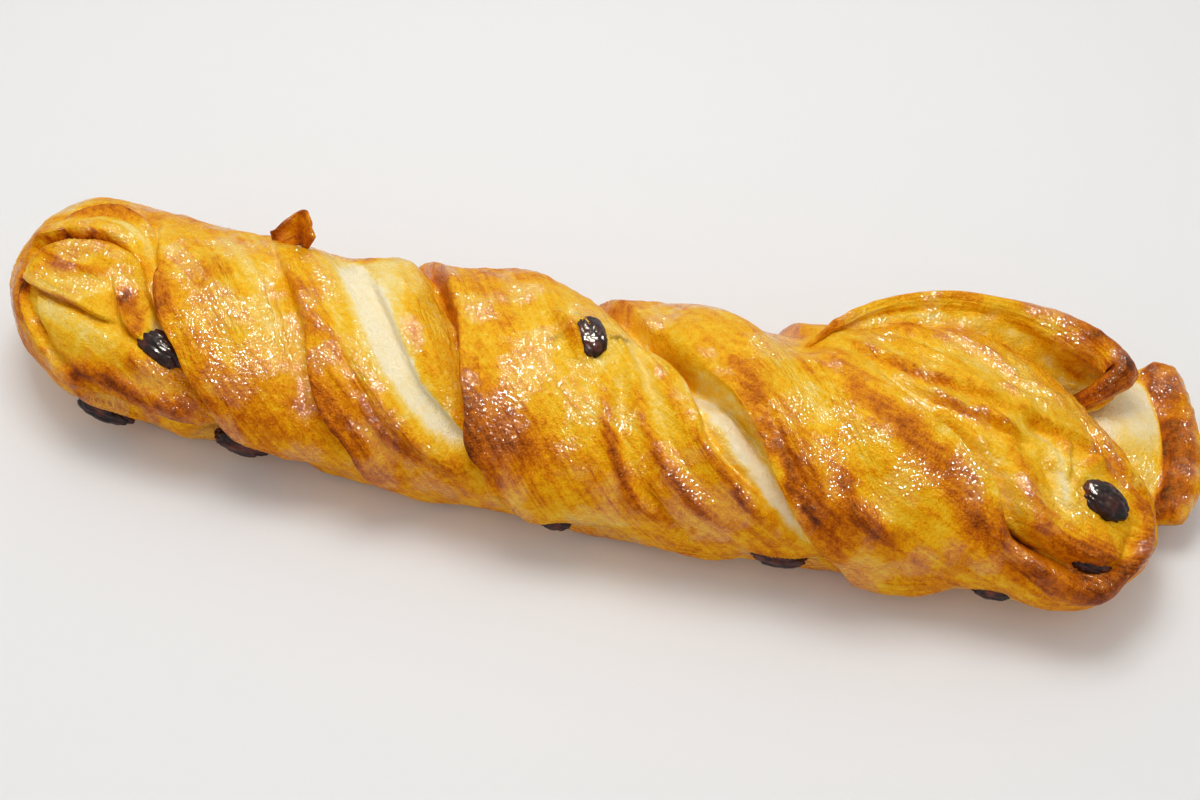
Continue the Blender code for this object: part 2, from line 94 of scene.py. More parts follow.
def end_rounding(x):
    """The share of its width that the twist has at x, as it rounds off at its tips."""
    left = np.clip((LEFT_TIP + LEFT_ROUNDING - x) / LEFT_ROUNDING, 0, 1)
    right = np.clip((x - RIGHT_TIP + RIGHT_ROUNDING) / RIGHT_ROUNDING, 0, 1)
    return np.sqrt((1 - left**2) * (1 - right**2))


def skin(x, angle):
    """The points of the plain twist, without its folds."""
    width = station_value(x, HALF_WIDTH) * end_rounding(x)
    height = width * station_value(x, FLATNESS)
    turn = np.radians(angle)
    y = station_value(x, CENTRE_Y) + width * np.cos(turn)
    z = station_value(x, CENTRE_Z) + height * np.sin(turn) * np.where(np.sin(turn) < 0, UNDER_FULLNESS, 1.0)
    return np.stack([x, y, z], axis=-1)


def unit(vectors):
    return vectors / (np.linalg.norm(vectors, axis=-1, keepdims=True) + 1e-12)


def skin_normal(x, angle):
    """The plain twist's direction outwards at each place."""
    step = 0.2
    inside = np.clip(x, LEFT_TIP + 0.25, RIGHT_TIP - 0.25)
    along = skin(inside + step, angle) - skin(inside - step, angle)
    out = unit(np.cross(skin(inside, angle + step) - skin(inside, angle - step), along))
    at_tip = end_rounding(x) < 0.02
    out[at_tip] = np.where(x[at_tip, None] < 0, (-1.0, 0, 0), (1.0, 0, 0))
    return out


def smooth_step(value, low, high):
    """From 0 at low to 1 at high, with no corner at either."""
    t = np.clip((value - low) / (high - low), 0, 1)
    return t * t * (3 - 2 * t)


def mound(distance, reach):
    """1 in the middle, and about a third at its reach."""
    return np.exp(-((distance / reach) ** 2))


def smooth_line(points, pieces):
    """A smooth line through the points, by Catmull-Rom."""
    knots = np.array(points, float)
    knots = np.vstack([2 * knots[0] - knots[1], knots, 2 * knots[-1] - knots[-2]])
    share = np.linspace(0, 1, pieces, endpoint=False)[:, None]
    line = []
    for a, b, c, d in zip(knots, knots[1:], knots[2:], knots[3:]):
        bend = 2 * b + (c - a) * share + (2 * a - 5 * b + 4 * c - d) * share**2
        line.append((bend + (3 * b - a - 3 * c + d) * share**3) / 2)
    return np.vstack(line + [knots[-2:-1]])


def stroke(places, points, reach):
    """For each place on the plain twist: how far it is from a stroke laid on it, above zero on the left of
    someone who walks along the stroke; how strong the stroke is there; which way its left lies; and how far
    along it the place is. A stroke's points are (x, angle, strength), and a strength of 1 is left out."""
    line = smooth_line([(*point, 1)[:3] for point in points], 5)
    centre, strength = skin(line[:, 0], line[:, 1]), line[:, 2]
    out = skin_normal(line[:, 0], line[:, 1])
    distance = np.full(len(places), 1e3)
    strong = np.zeros(len(places))
    left = np.zeros((len(places), 3))
    along = np.zeros(len(places))
    walked = np.concatenate([[0], np.cumsum(np.linalg.norm(np.diff(centre, axis=0), axis=1))])
    low, high = centre.min(axis=0) - reach, centre.max(axis=0) + reach
    near = np.flatnonzero(((places > low) & (places < high)).all(axis=1))
    for index in range(len(centre) - 1):
        run = centre[index + 1] - centre[index]
        offset = places[near] - centre[index]
        share = np.clip(offset @ run / (run @ run), 0, 1)
        gap = offset - share[:, None] * run
        away = np.sqrt((gap**2).sum(axis=1))
        closer = away < np.abs(distance[near])
        changed = near[closer]
        leftwards = unit(np.cross(out[index], run))
        distance[changed] = away[closer] * np.where(gap[closer] @ leftwards < 0, -1, 1)
        strong[changed] = strength[index] + share[closer] * (strength[index + 1] - strength[index])
        left[changed] = leftwards
        along[changed] = walked[index] + share[closer] * (walked[index + 1] - walked[index])
    return distance, strong * (np.abs(distance) < reach), left, along


# Lips: (lift, drop, reach of the lift, reach of the drop, lean, points). A lip is the edge of one lap over
# the next: the dough on its left stands up and leans out over the dough on its right.
LIPS = (
    # The shut end: its rim over a recess, the curl in it, the curl's hook, the plate's edge and the hem.
    (2.8, 4.6, 5.0, 2.4, 1.8,
     ((-137, 106, 0), (-134, 96, 0.8), (-131, 93), (-128, 89), (-124, 86), (-119, 84), (-115, 84),
      (-112, 86, 0.8), (-109, 92, 0.2))),
    (2.4, 1.2, 3.6, 2.0, 0.8,
     ((-105, 104, 0), (-107, 96, 0.7), (-110, 91), (-113, 88), (-118, 89), (-122, 93), (-126, 97),
      (-130, 103), (-133, 110, 0.7), (-135, 114, 0))),
    (1.8, 1.8, 3.4, 2.0, 1.2,
     ((-137, 120, 0), (-133, 125), (-129, 126), (-124, 126), (-118, 126), (-112, 128), (-108, 129, 0.5),
      (-105, 130, 0))),
    (2.0, 1.8, 2.4, 2.2, 0.8,
     ((-113, 104, 0), (-110, 114, 0.7), (-107, 122), (-104, 130), (-101, 134, 0.6))),
    (1.6, 1.4, 2.2, 2.2, 0.6, ((-99, 126, 0.8), (-101, 117), (-104, 109), (-106, 99, 0))),
    (1.2, 1.6, 4.0, 2.5, 0.5,
     ((-113, 168, 0.3), (-117, 166, 0.8), (-121, 164), (-125, 158), (-130, 150), (-134, 141),
      (-136, 128, 0.8), (-137, 118, 0))),
    (1.6, 1.8, 3.6, 5.0, 0.6,
     ((-124, 178, 0), (-118, 177, 0.8), (-112, 176), (-105, 174), (-98, 177), (-91, 180), (-84, 186, 0.6),
      (-78, 194, 0))),
    # The first lap, which runs once round the back and comes up again to the right of the second opening.
    (3.4, 3.4, 13.0, 6.0, 1.4,
     ((-112, 50, 0.1), (-109, 64, 0.2), (-106, 78, 0.3), (-103, 92, 0.6), (-101, 105, 0.9), (-97, 120),
      (-91, 134), (-88.5, 142), (-86, 150), (-82, 159), (-79, 170), (-76, 180), (-70, 193), (-60, 218, 0.9),
      (-46, 255, 0.8), (-22, 320, 0.8), (-4, 380, 0.8), (3, 408, 0.9), (8, 425), (12, 432), (18.5, 443),
      (25, 454), (31, 464), (35.5, 474), (39, 483), (42.5, 496), (45, 504), (48, 514, 0.9), (51, 524, 0.8),
      (54, 534, 0.7), (59, 552, 0.5), (64, 580, 0.3))),
    # The roll beside it, and the lap over the first opening.
    (2.8, 2.2, 5.5, 5.5, 1.0,
     ((-80, 62, 0.3), (-74, 80, 0.4), (-69, 95, 0.6), (-65, 108, 0.8), (-62, 125), (-58, 144), (-54, 156),
      (-49, 168), (-46, 184), (-42, 198, 0.9), (-26, 240, 0.7), (0, 320, 0.3))),
    (1.6, 1.4, 5.0, 6.0, 1.2,
     ((-60, 54, 0), (-56, 66, 0.4), (-53, 75, 0.8), (-50, 83), (-46, 95), (-42, 106), (-39, 115),
      (-36, 123), (-32, 130), (-29, 136), (-25, 145), (-21, 153, 0.6))),
    # The second lap.
    (3.6, 3.0, 13.0, 5.5, 1.5,
     ((-66, -40, 0.4), (-55, 0, 0.6), (-46, 34, 0.8), (-39, 62), (-35, 78), (-32, 88), (-29, 104),
      (-27, 118), (-24, 133), (-23, 143), (-21, 152), (-18, 163), (-16, 176), (-11, 186), (8, 245, 0.9),
      (26, 320, 0.7), (36, 372, 0.6), (42, 400, 0.3), (46, 412, 0))),
    # The thin lower edge of the second opening.
    (1.2, 2.4, 4.0, 4.5, 0.6,
     ((50, 178, 0), (47, 171, 0.5), (44, 164, 0.8), (39, 151), (34, 142), (30, 134), (26, 124), (24, 115),
      (21, 104), (19, 96), (15, 86), (11, 77, 0.8), (7, 66, 0))),
    # The last lap, over the fan, and the fan's own layers.
    (2.2, 3.8, 7.0, 3.2, 1.3,
     ((110, 164, 0), (106, 161, 0.4), (102, 158, 0.8), (97, 154), (92, 148), (90, 140), (88, 132),
      (86, 124), (81, 117), (76, 108, 0.9), (69, 100, 0.7), (63, 91, 0.5), (55, 76, 0))),
    (1.7, 1.6, 2.6, 2.6, 0.8,
     ((48, 60, 0), (54, 65, 0.8), (61, 72), (68, 77), (75, 80), (82, 83, 0.8), (89, 86, 0))),
    (1.5, 1.6, 2.6, 2.6, 0.8,
     ((60, 81, 0), (66, 86, 0.6), (72, 90), (78, 92), (84, 94), (89, 95), (94, 95, 0))),
    (1.6, 1.0, 2.2, 2.4, 0.9, ((86, 80, 0), (90, 81), (95, 80), (101, 76), (106, 72, 0.8), (109, 68, 0))),
    (1.6, 2.0, 2.4, 3.0, 1.0, ((105, 56, 0), (108, 60), (112, 62), (117, 58), (120, 50, 0.4))),
)

# Ridges and, with a height below zero, grooves: (height, half width, points).
RIDGES = (
    # The crowns of the laps and the hollows between them, which make the outline of the twist wavy.
    (-2.0, 3.5, ((-72, 30, 0.4), (-65, 52), (-61, 68, 0.3))),
    (2.2, 5.0, ((-62, 10, 0.3), (-52, 38), (-46, 60, 0.4))),
    (-1.8, 5.0, ((-54, 6, 0.4), (-41, 36), (-36, 54, 0.2))),
    (3.4, 7.5, ((-34, 0, 0.5), (-24, 32), (-17, 55, 0.9), (-10, 80, 0.5), (-4, 100, 0))),
    (-2.8, 5.0, ((-8, 16, 0.4), (4, 48), (9, 62, 0.6), (14, 76, 0))),
    (2.4, 6.0, ((8, 10, 0.3), (20, 42), (27, 62, 0.9), (34, 84, 0.2))),
    (-3.0, 6.0, ((28, 26, 0.3), (40, 58), (46, 76, 0.2))),
    (-3.4, 6.0, ((-92, 204, 0), (-84, 204), (-60, 206), (-48, 206, 0))),
    (-4.0, 5.0, ((-88, 200, 0), (-82, 201), (-72, 202), (-66, 204, 0))),
    (-2.6, 4.0, ((-122, 205, 0), (-116, 206), (-107, 207), (-100, 206, 0.6), (-94, 206, 0))),
    (2.2, 2.2, ((-120, 190, 0), (-115, 190), (-108, 191), (-101, 192, 0.6), (-96, 192, 0))),
    (-2.6, 6.0, ((-10, 206, 0), (-2, 206), (8, 206), (16, 206, 0))),
    (2.0, 5.0, ((18, 204, 0), (26, 204), (33, 204), (38, 204, 0))),
    (-2.4, 5.0, ((39, 203, 0), (45, 203), (54, 202), (60, 202, 0))),
    (1.4, 2.0, ((38, 191, 0), (43, 192), (50, 193), (55, 193, 0))),
    (2.4, 5.0, ((58, 204, 0), (66, 204), (76, 203), (84, 202, 0))),
    (2.6, 5.0, ((94, 190, 0), (102, 190), (111, 190), (117, 186, 0))),
    (-1.4, 1.2,
     ((-133, 128, 0), (-131, 136), (-129, 145), (-127, 153), (-123, 162), (-118, 167), (-113, 169, 0.3))),
    (-1.0, 1.0, ((-134, 122, 0), (-136, 130), (-136, 138), (-134, 148), (-132, 156), (-127, 164, 0))),
    (-1.2, 1.0,
     ((-136, 90, 0), (-134, 80), (-132, 68), (-128, 60), (-123, 55), (-117, 54), (-111, 62),
      (-107, 74, 0.6), (-104, 86, 0))),
    (-1.1, 1.0,
     ((-130, 84, 0), (-126, 75), (-122, 68), (-117, 67), (-112, 71), (-108, 80), (-104, 92, 0.6),
      (-102, 100, 0))),
    (1.2, 1.4,
     ((-132, 76, 0), (-127, 66), (-121, 60), (-115, 62), (-109, 72), (-105, 84, 0.6), (-102, 94, 0))),
    (-1.0, 1.0, ((-119, 76, 0), (-114, 77), (-110, 84), (-106, 93, 0.8), (-103, 102, 0))),
    (-2.2, 1.6,
     ((-134, 104, 0), (-131, 99), (-127, 94), (-123, 90), (-118, 87), (-113, 88, 0.8), (-110, 91, 0))),
    (2.0, 2.6, ((-104, 143, 0), (-99, 146), (-93, 150), (-89, 155, 0))),
    (1.8, 1.8, ((-101, 123, 0), (-98, 127), (-95, 131), (-92, 136, 0))),
    (2.4, 9.0, ((-126, 136, 0.4), (-117, 138), (-108, 142), (-100, 148, 0.5))),
    (1.5, 2.4,
     ((-119, 167, 0), (-116, 167), (-111, 162), (-105, 164), (-97, 168), (-91, 171, 0.8), (-82, 177, 0))),
    (-1.0, 1.2, ((-117, 171, 0), (-112, 168), (-105, 168), (-98, 172), (-90, 175, 0))),
    (1.0, 1.8, ((-128, 110, 0), (-124, 111), (-120, 109), (-116, 108), (-112, 111, 0))),
    (-1.2, 1.6, ((-100, 128, 0), (-98, 134), (-94, 146), (-90, 154), (-84, 162, 0.6), (-80, 170, 0))),
    (-1.6, 4.0,
     ((-82, 66, 0.3), (-78, 80, 0.6), (-75, 91), (-70, 108), (-66, 123), (-62, 136), (-59, 147, 0.8),
      (-55, 160, 0.5), (-50, 176, 0))),
    (1.0, 4.0, ((-98, 66, 0), (-89, 92), (-81, 112), (-75, 129, 0))),
    (-0.9, 1.0,
     ((-78, 62, 0.3), (-69, 84), (-62, 104), (-57, 121), (-51, 136), (-45, 154), (-40, 170),
      (-34, 184, 0))),
    (-1.0, 1.1,
     ((-73, 64, 0), (-65, 88, 0.6), (-59, 106, 0.8), (-54, 122), (-49, 132), (-45, 145), (-39, 158),
      (-31, 172), (-24, 182, 0))),
    (1.2, 1.6, ((-75, 72, 0), (-67, 92), (-60, 112), (-55, 128), (-49, 142), (-42, 158, 0.5))),
    (1.6, 3.2, ((-56, 108, 0), (-50, 124), (-44, 137), (-37, 152), (-28, 166), (-20, 176, 0))),
    (-2.2, 4.6,
     ((-65, 48, 0), (-61, 60, 0.4), (-57, 73, 0.8), (-53, 86), (-46, 106), (-40, 121), (-33, 138),
      (-27, 149, 0.6), (-22, 158, 0))),
    (0.9, 2.2, ((-60, 62, 0), (-56, 76, 0.8), (-53, 87), (-47, 104), (-40, 121), (-33, 137), (-27, 148, 0))),
    (0.9, 2.6, ((-46, 60, 0), (-43, 84), (-38, 100), (-33, 118), (-27, 134, 0))),
    (-1.2, 1.6, ((-45, 50, 0), (-41, 66), (-37, 80), (-34, 92), (-31, 106), (-28, 122), (-26, 136, 0))),
    (0.8, 1.2,
     ((-43, 48, 0.5), (-37, 66), (-33, 80), (-30, 92), (-27, 106), (-25, 120), (-22, 138, 0.8),
      (-19, 156, 0.5))),
    (-0.8, 1.6, ((-39, 60, 0.5), (-33, 78), (-29, 92), (-25, 108), (-22, 122, 0.5), (-19, 138, 0))),
    (1.4, 5.5, ((-8, 88, 0.6), (-4, 84), (0, 82))),
    (3.0, 1.4, ((-14, 74, 0), (-11, 79, 0.8), (-8, 84), (-6, 89), (-4, 95, 0.6), (-2, 99, 0))),
    (2.6, 1.1, ((-9, 72, 0), (-7, 77, 0.8), (-5, 81), (-3, 84, 0.6), (-1, 87, 0))),
    (1.8, 1.6, ((58, 148, 0), (61, 151), (64, 155), (67, 160, 0.8), (69, 164, 0))),
    (2.2, 1.6, ((103, 158, 0), (107, 161), (112, 162), (116, 156, 0))),
    (2.2, 1.6, ((104, 143, 0), (108, 145), (113, 142), (116, 136, 0))),
    (1.3, 1.6,
     ((2, 90, 0), (3, 98, 0.6), (4, 114, 0.8), (6, 130), (10, 146), (12, 159), (16, 169), (22, 182, 0))),
    (-0.9, 1.6, ((5, 92, 0), (7, 112), (9, 130), (13, 146), (18, 160, 0.5), (22, 172, 0))),
    (1.3, 1.8,
     ((1, 70, 0), (4, 84, 0.7), (8, 100), (12, 118), (16, 132), (22, 148), (28, 162), (36, 178, 0))),
    (-0.8, 1.5, ((4, 76, 0), (9, 92), (15, 114), (20, 130), (26, 146), (33, 160, 0))),
    (0.9, 1.6, ((5, 74, 0), (12, 93), (18, 110), (24, 124), (30, 138), (37, 154), (42, 166, 0))),
    (-1.6, 1.0, ((16, 156, 0), (18, 161), (21, 171), (24, 183), (28, 200, 0))),
    (-3.2, 2.6, ((7, 66, 0.3), (12, 75), (17, 84), (22, 94), (26, 104, 0.5))),
    (-2.4, 1.1, ((23, 94, 0), (28.5, 104), (32.5, 113), (36.5, 123), (40.5, 134, 0))),
    (1.6, 2.6, ((20, 102, 0), (25, 111), (30, 122), (35, 134), (40, 146), (45, 158), (50, 170, 0))),
    (1.2, 2.4, ((26, 84, 0), (34, 97), (39, 108), (44, 121), (49, 134), (54, 150, 0.6))),
    (-1.3, 1.1,
     ((35.5, 105, 0), (39.5, 114), (43.5, 126), (48.5, 140), (52.5, 150), (57, 162, 0.5), (61, 176, 0))),
    (-1.8, 4.5, ((34, 64, 0), (40, 78), (46, 95), (51, 110), (57, 127), (63, 143, 0.6), (68, 152, 0))),
    (1.0, 2.6, ((48, 104, 0), (52, 116), (56, 132), (59, 146), (63, 155), (68, 166, 0))),
    (2.0, 8.0, ((44, 68, 0.4), (54, 94), (63, 112), (71, 126), (78, 137), (85, 148, 0.6))),
    (-1.3, 1.4, ((82, 142, 0), (87, 151), (91, 159), (97, 169), (104, 180, 0))),
    (-3.6, 1.2, ((87, 132, 0), (89, 139, 0.6), (91, 143), (94, 147), (98, 150, 0.6), (102, 153, 0))),
    # The fan: its crown, the ruffles that run out along it and the hollows near its end.
    (2.4, 6.5, ((52, 40, 0.3), (62, 36), (74, 34), (86, 38, 0.8), (96, 48, 0.3))),
    (1.2, 1.6,
     ((52, 54, 0), (60, 55), (67, 60), (74, 67), (79, 71, 0.8), (85, 73), (91, 73, 0.6), (97, 66),
      (103, 56, 0))),
    (1.1, 1.5,
     ((57, 43, 0), (63, 42), (70, 43, 0.6), (77, 48), (83, 54), (88, 59, 0.6), (94, 60), (100, 54, 0))),
    (1.0, 1.4, ((60, 62, 0), (65, 66), (70, 70, 0.7), (75, 74), (80, 77), (85, 79, 0))),
    (-0.9, 1.2, ((54, 50, 0), (62, 49), (70, 53), (78, 60), (85, 66), (92, 66, 0.6), (98, 60, 0))),
    (-0.9, 1.1, ((58, 60, 0), (64, 62), (70, 65), (76, 70), (82, 74, 0))),
    (1.2, 1.4, ((60, 74, 0), (66, 81), (72, 85), (77, 87, 0.6), (83, 90), (88, 96), (91, 102, 0))),
    (-1.0, 1.1, ((62, 78, 0), (68, 82), (74, 86), (80, 89), (88, 91, 0))),
    (1.2, 1.4, ((68, 92, 0), (74, 98), (80, 104), (85, 109, 0.7), (89, 116), (92, 125), (94, 133, 0))),
    (-1.6, 2.2, ((70, 95, 0), (77, 103, 0.8), (83, 111), (87, 119), (90, 129), (92, 137, 0.4))),
    (2.2, 2.4,
     ((86, 98, 0), (89, 105, 0.7), (93, 117), (96, 128), (100, 137), (105, 140), (111, 136, 0.8),
      (115, 126, 0))),
    (-1.8, 2.2, ((84, 104, 0), (87, 114), (91, 127), (94, 138), (97, 143, 0.3))),
    (-1.8, 1.8, ((95, 98, 0), (98, 107), (101, 118), (104, 122, 0.6))),
    (-2.2, 3.0, ((90, 84, 0), (94, 85), (99, 88), (104, 90), (108, 92, 0))),
    (1.8, 0.9, ((101, 78, 0), (101, 84), (101, 93), (101, 102, 0.8), (100, 107, 0))),
    (1.4, 1.6, ((92, 90, 0), (96, 93), (99, 98), (100, 104, 0))),
    (-2.6, 3.0, ((107, 62, 0), (110, 68), (114, 70), (118, 66, 0.6), (121, 58, 0))),
    (2.4, 2.2,
     ((103, 104, 0), (105, 92, 0.8), (107, 82), (110, 75), (114, 75), (118, 81), (120, 96), (120, 124),
      (117, 150), (113, 164), (107, 168), (100, 162, 0.8), (93, 152, 0))),
    (-2.6, 1.4,
     ((96, 140, 0), (99, 146, 0.8), (103, 154), (108, 159), (113, 154), (116, 138), (117, 118, 0.6),
      (116, 106, 0))),
    (1.2, 1.8, ((92, 166, 0), (99, 172), (106, 176), (113, 178), (119, 172, 0))),
)

# Half the width over which a lip falls away, how far behind its edge it leans most, and how many times its
# reach or half width a fold goes before it ends.
LIP_EDGE, LEAN_BEHIND, LEAN_REACH = 0.6, 0.8, 1.5
LIP_FADE, RIDGE_FADE = 2.2, 2.5

# Thin layers of dough show beside the folds: how thick and long they are, and what sets each fold's apart.
LAYER_THICKNESS, LAYER_LENGTH, LAYER_SHIFT = 0.9, 14, 5.3

# Where the last lap's edge crosses the fan, and how much rougher the fan is.
FAN_EDGE_X = (48, 55, 69, 81, 88, 92, 102)
FAN_EDGE_ANGLE = (60, 76, 100, 117, 132, 148, 158)
FAN_ROUGHER = 1.4


def pressed(z):
    """Heights with all that is below the tray brought up to it, and a rounded edge where it lifts off."""
    rounded = (z + SOLE_ROUNDING) ** 2 / (4 * SOLE_ROUNDING)
    return np.where(z < -SOLE_ROUNDING, 0.0, np.where(z > SOLE_ROUNDING, z, rounded))


def lumps(places, *sizes):
    """Smooth random unevenness: each of the sizes is how much of it there is, and how wide its lumps are."""
    uneven = 0
    for amount, size in sizes:
        uneven = uneven + amount * np.array([noise.noise(Vector(place)) for place in places / size])
    return uneven


def folded(x, angle, strand):
    """The surface of the twist with its folds and wrinkles, pressed flat where it rests; how proud it stands;
    where it lies across and along its thin layers; and how much those layers show."""
    plain = skin(x, angle)
    height = np.zeros(len(x))
    slide = np.zeros((len(x), 3))
    fine = np.zeros(len(x))
    nearest = np.zeros((2, len(x)))
    layer = np.zeros((len(x), 3))

    def lay(fold, distance, strength, along, reach):
        weight = strength * mound(distance, reach)
        stronger = weight > nearest[0]
        nearest[1] = np.maximum(nearest[1], np.minimum(weight, nearest[0]))
        nearest[0] = np.maximum(nearest[0], weight)
        shift = 0 * along + LAYER_SHIFT * fold
        place = np.stack([distance / LAYER_THICKNESS, along / LAYER_LENGTH, shift], axis=-1)
        layer[stronger] = place[stronger]

    for fold, (lift, drop, lift_reach, drop_reach, lean, points) in enumerate(LIPS, 1):
        reach = max(lift_reach, drop_reach)
        distance, strength, left, along = stroke(plain, points, LIP_FADE * reach)
        lay(fold, distance, strength, along, min(5.0, 1.1 * reach))
        over = smooth_step(distance, -LIP_EDGE, LIP_EDGE)
        height += over * lift * strength * mound(distance, lift_reach)
        height -= (1 - over) * drop * strength * mound(distance, drop_reach)
        slide -= left * (lean * strength * mound(distance - LEAN_BEHIND, LEAN_REACH))[:, None]
    for fold, (ridge, half_width, points) in enumerate(RIDGES, len(LIPS) + 1):
        distance, strength, _, along = stroke(plain, points, RIDGE_FADE * half_width)
        if 2.0 < half_width < 6:
            lay(fold, distance, strength, along, 1.25 * half_width)
        if ridge < 0 and half_width < 2.5:
            raised = ridge * strength * np.exp(-np.abs(distance) / (0.75 * half_width))
        else:
            raised = ridge * strength * mound(distance, half_width)
        height += raised
        if half_width < 3:
            fine += raised
    height += lumps(plain, (0.9, 19.0), (0.4, 7.0))
    drawn = lumps(strand, (0.24, 1.6), (0.14, 0.8)) + lumps(plain, (0.16, 2.2))
    fan = smooth_step(x, 46, 60) * smooth_step(np.interp(x, FAN_EDGE_X, FAN_EDGE_ANGLE) - angle, -2, 10)
    drawn *= 1 + FAN_ROUGHER * fan * (angle > 10)
    height += drawn
    fine += drawn
    # Folds are pressed nearly flat where the twist rests, and fade out at its tips.
    relief = 0.15 + 0.85 * smooth_step(plain[:, 2], -2, 7)
    relief *= smooth_step(end_rounding(x), 0.0, 0.3)
    points = plain + skin_normal(x, angle) * (height * relief)[:, None] + slide * relief[:, None]
    points[:, 2] = pressed(points[:, 2])
    # The oven catches a thin fold sooner than a broad one.
    proud = 0.45 * height + 3.0 * np.clip(fine, -1.5, 1.5)
    layered = smooth_step(nearest[0] - nearest[1], 0.25, 0.8) * (1 - fan)
    return points, proud, layer, layered


def drawn_ball(name, strands, rings, place):
    """A closed piece of dough, drawn out from a ball. place takes how far along the piece and at what angle
    round it the points are, and gives the points, how brown they are with the shade painted on some of them,
    where they lie along and across the strands of the dough, where they lie across and along its thin layers,
    and how much those layers show."""
    ball = bmesh.new()
    bmesh.ops.create_uvsphere(ball, u_segments=strands, v_segments=rings, radius=1.0)
    round_ball = np.array([vertex.co for vertex in ball.verts], float)
    share = np.rint(np.arccos(np.clip(round_ball[:, 2], -1, 1)) / math.pi * rings) / rings
    turn = np.degrees(np.arctan2(round_ball[:, 1], round_ball[:, 0]))
    points, bake_and_shade, strand, layer, layered = place(share, turn)
    for vertex, point in zip(ball.verts, points):
        vertex.co = point
    bmesh.ops.recalc_face_normals(ball, faces=ball.faces)
    bmesh.ops.smooth_vert(
        ball, verts=ball.verts, factor=0.4, use_axis_x=True, use_axis_y=True, use_axis_z=True
    )
    bmesh.ops.scale(ball, vec=(MM, MM, MM), verts=ball.verts)
    mesh = bpy.data.meshes.new(name)
    ball.to_mesh(mesh)
    ball.free()
    for attribute, values in (("bake_and_shade", bake_and_shade), ("layered", layered)):
        shares = mesh.attributes.new(attribute, "FLOAT", "POINT").data
        shares.foreach_set("value", values.astype(np.float32))
    for attribute, values in (("strand", strand), ("layer", layer)):
        places = mesh.attributes.new(attribute, "FLOAT_VECTOR", "POINT").data
        places.foreach_set("vector", values.astype(np.float32).ravel())
    mesh.shade_smooth()
    piece = bpy.data.objects.new(name, mesh)
    bpy.context.scene.collection.objects.link(piece)
    return piece
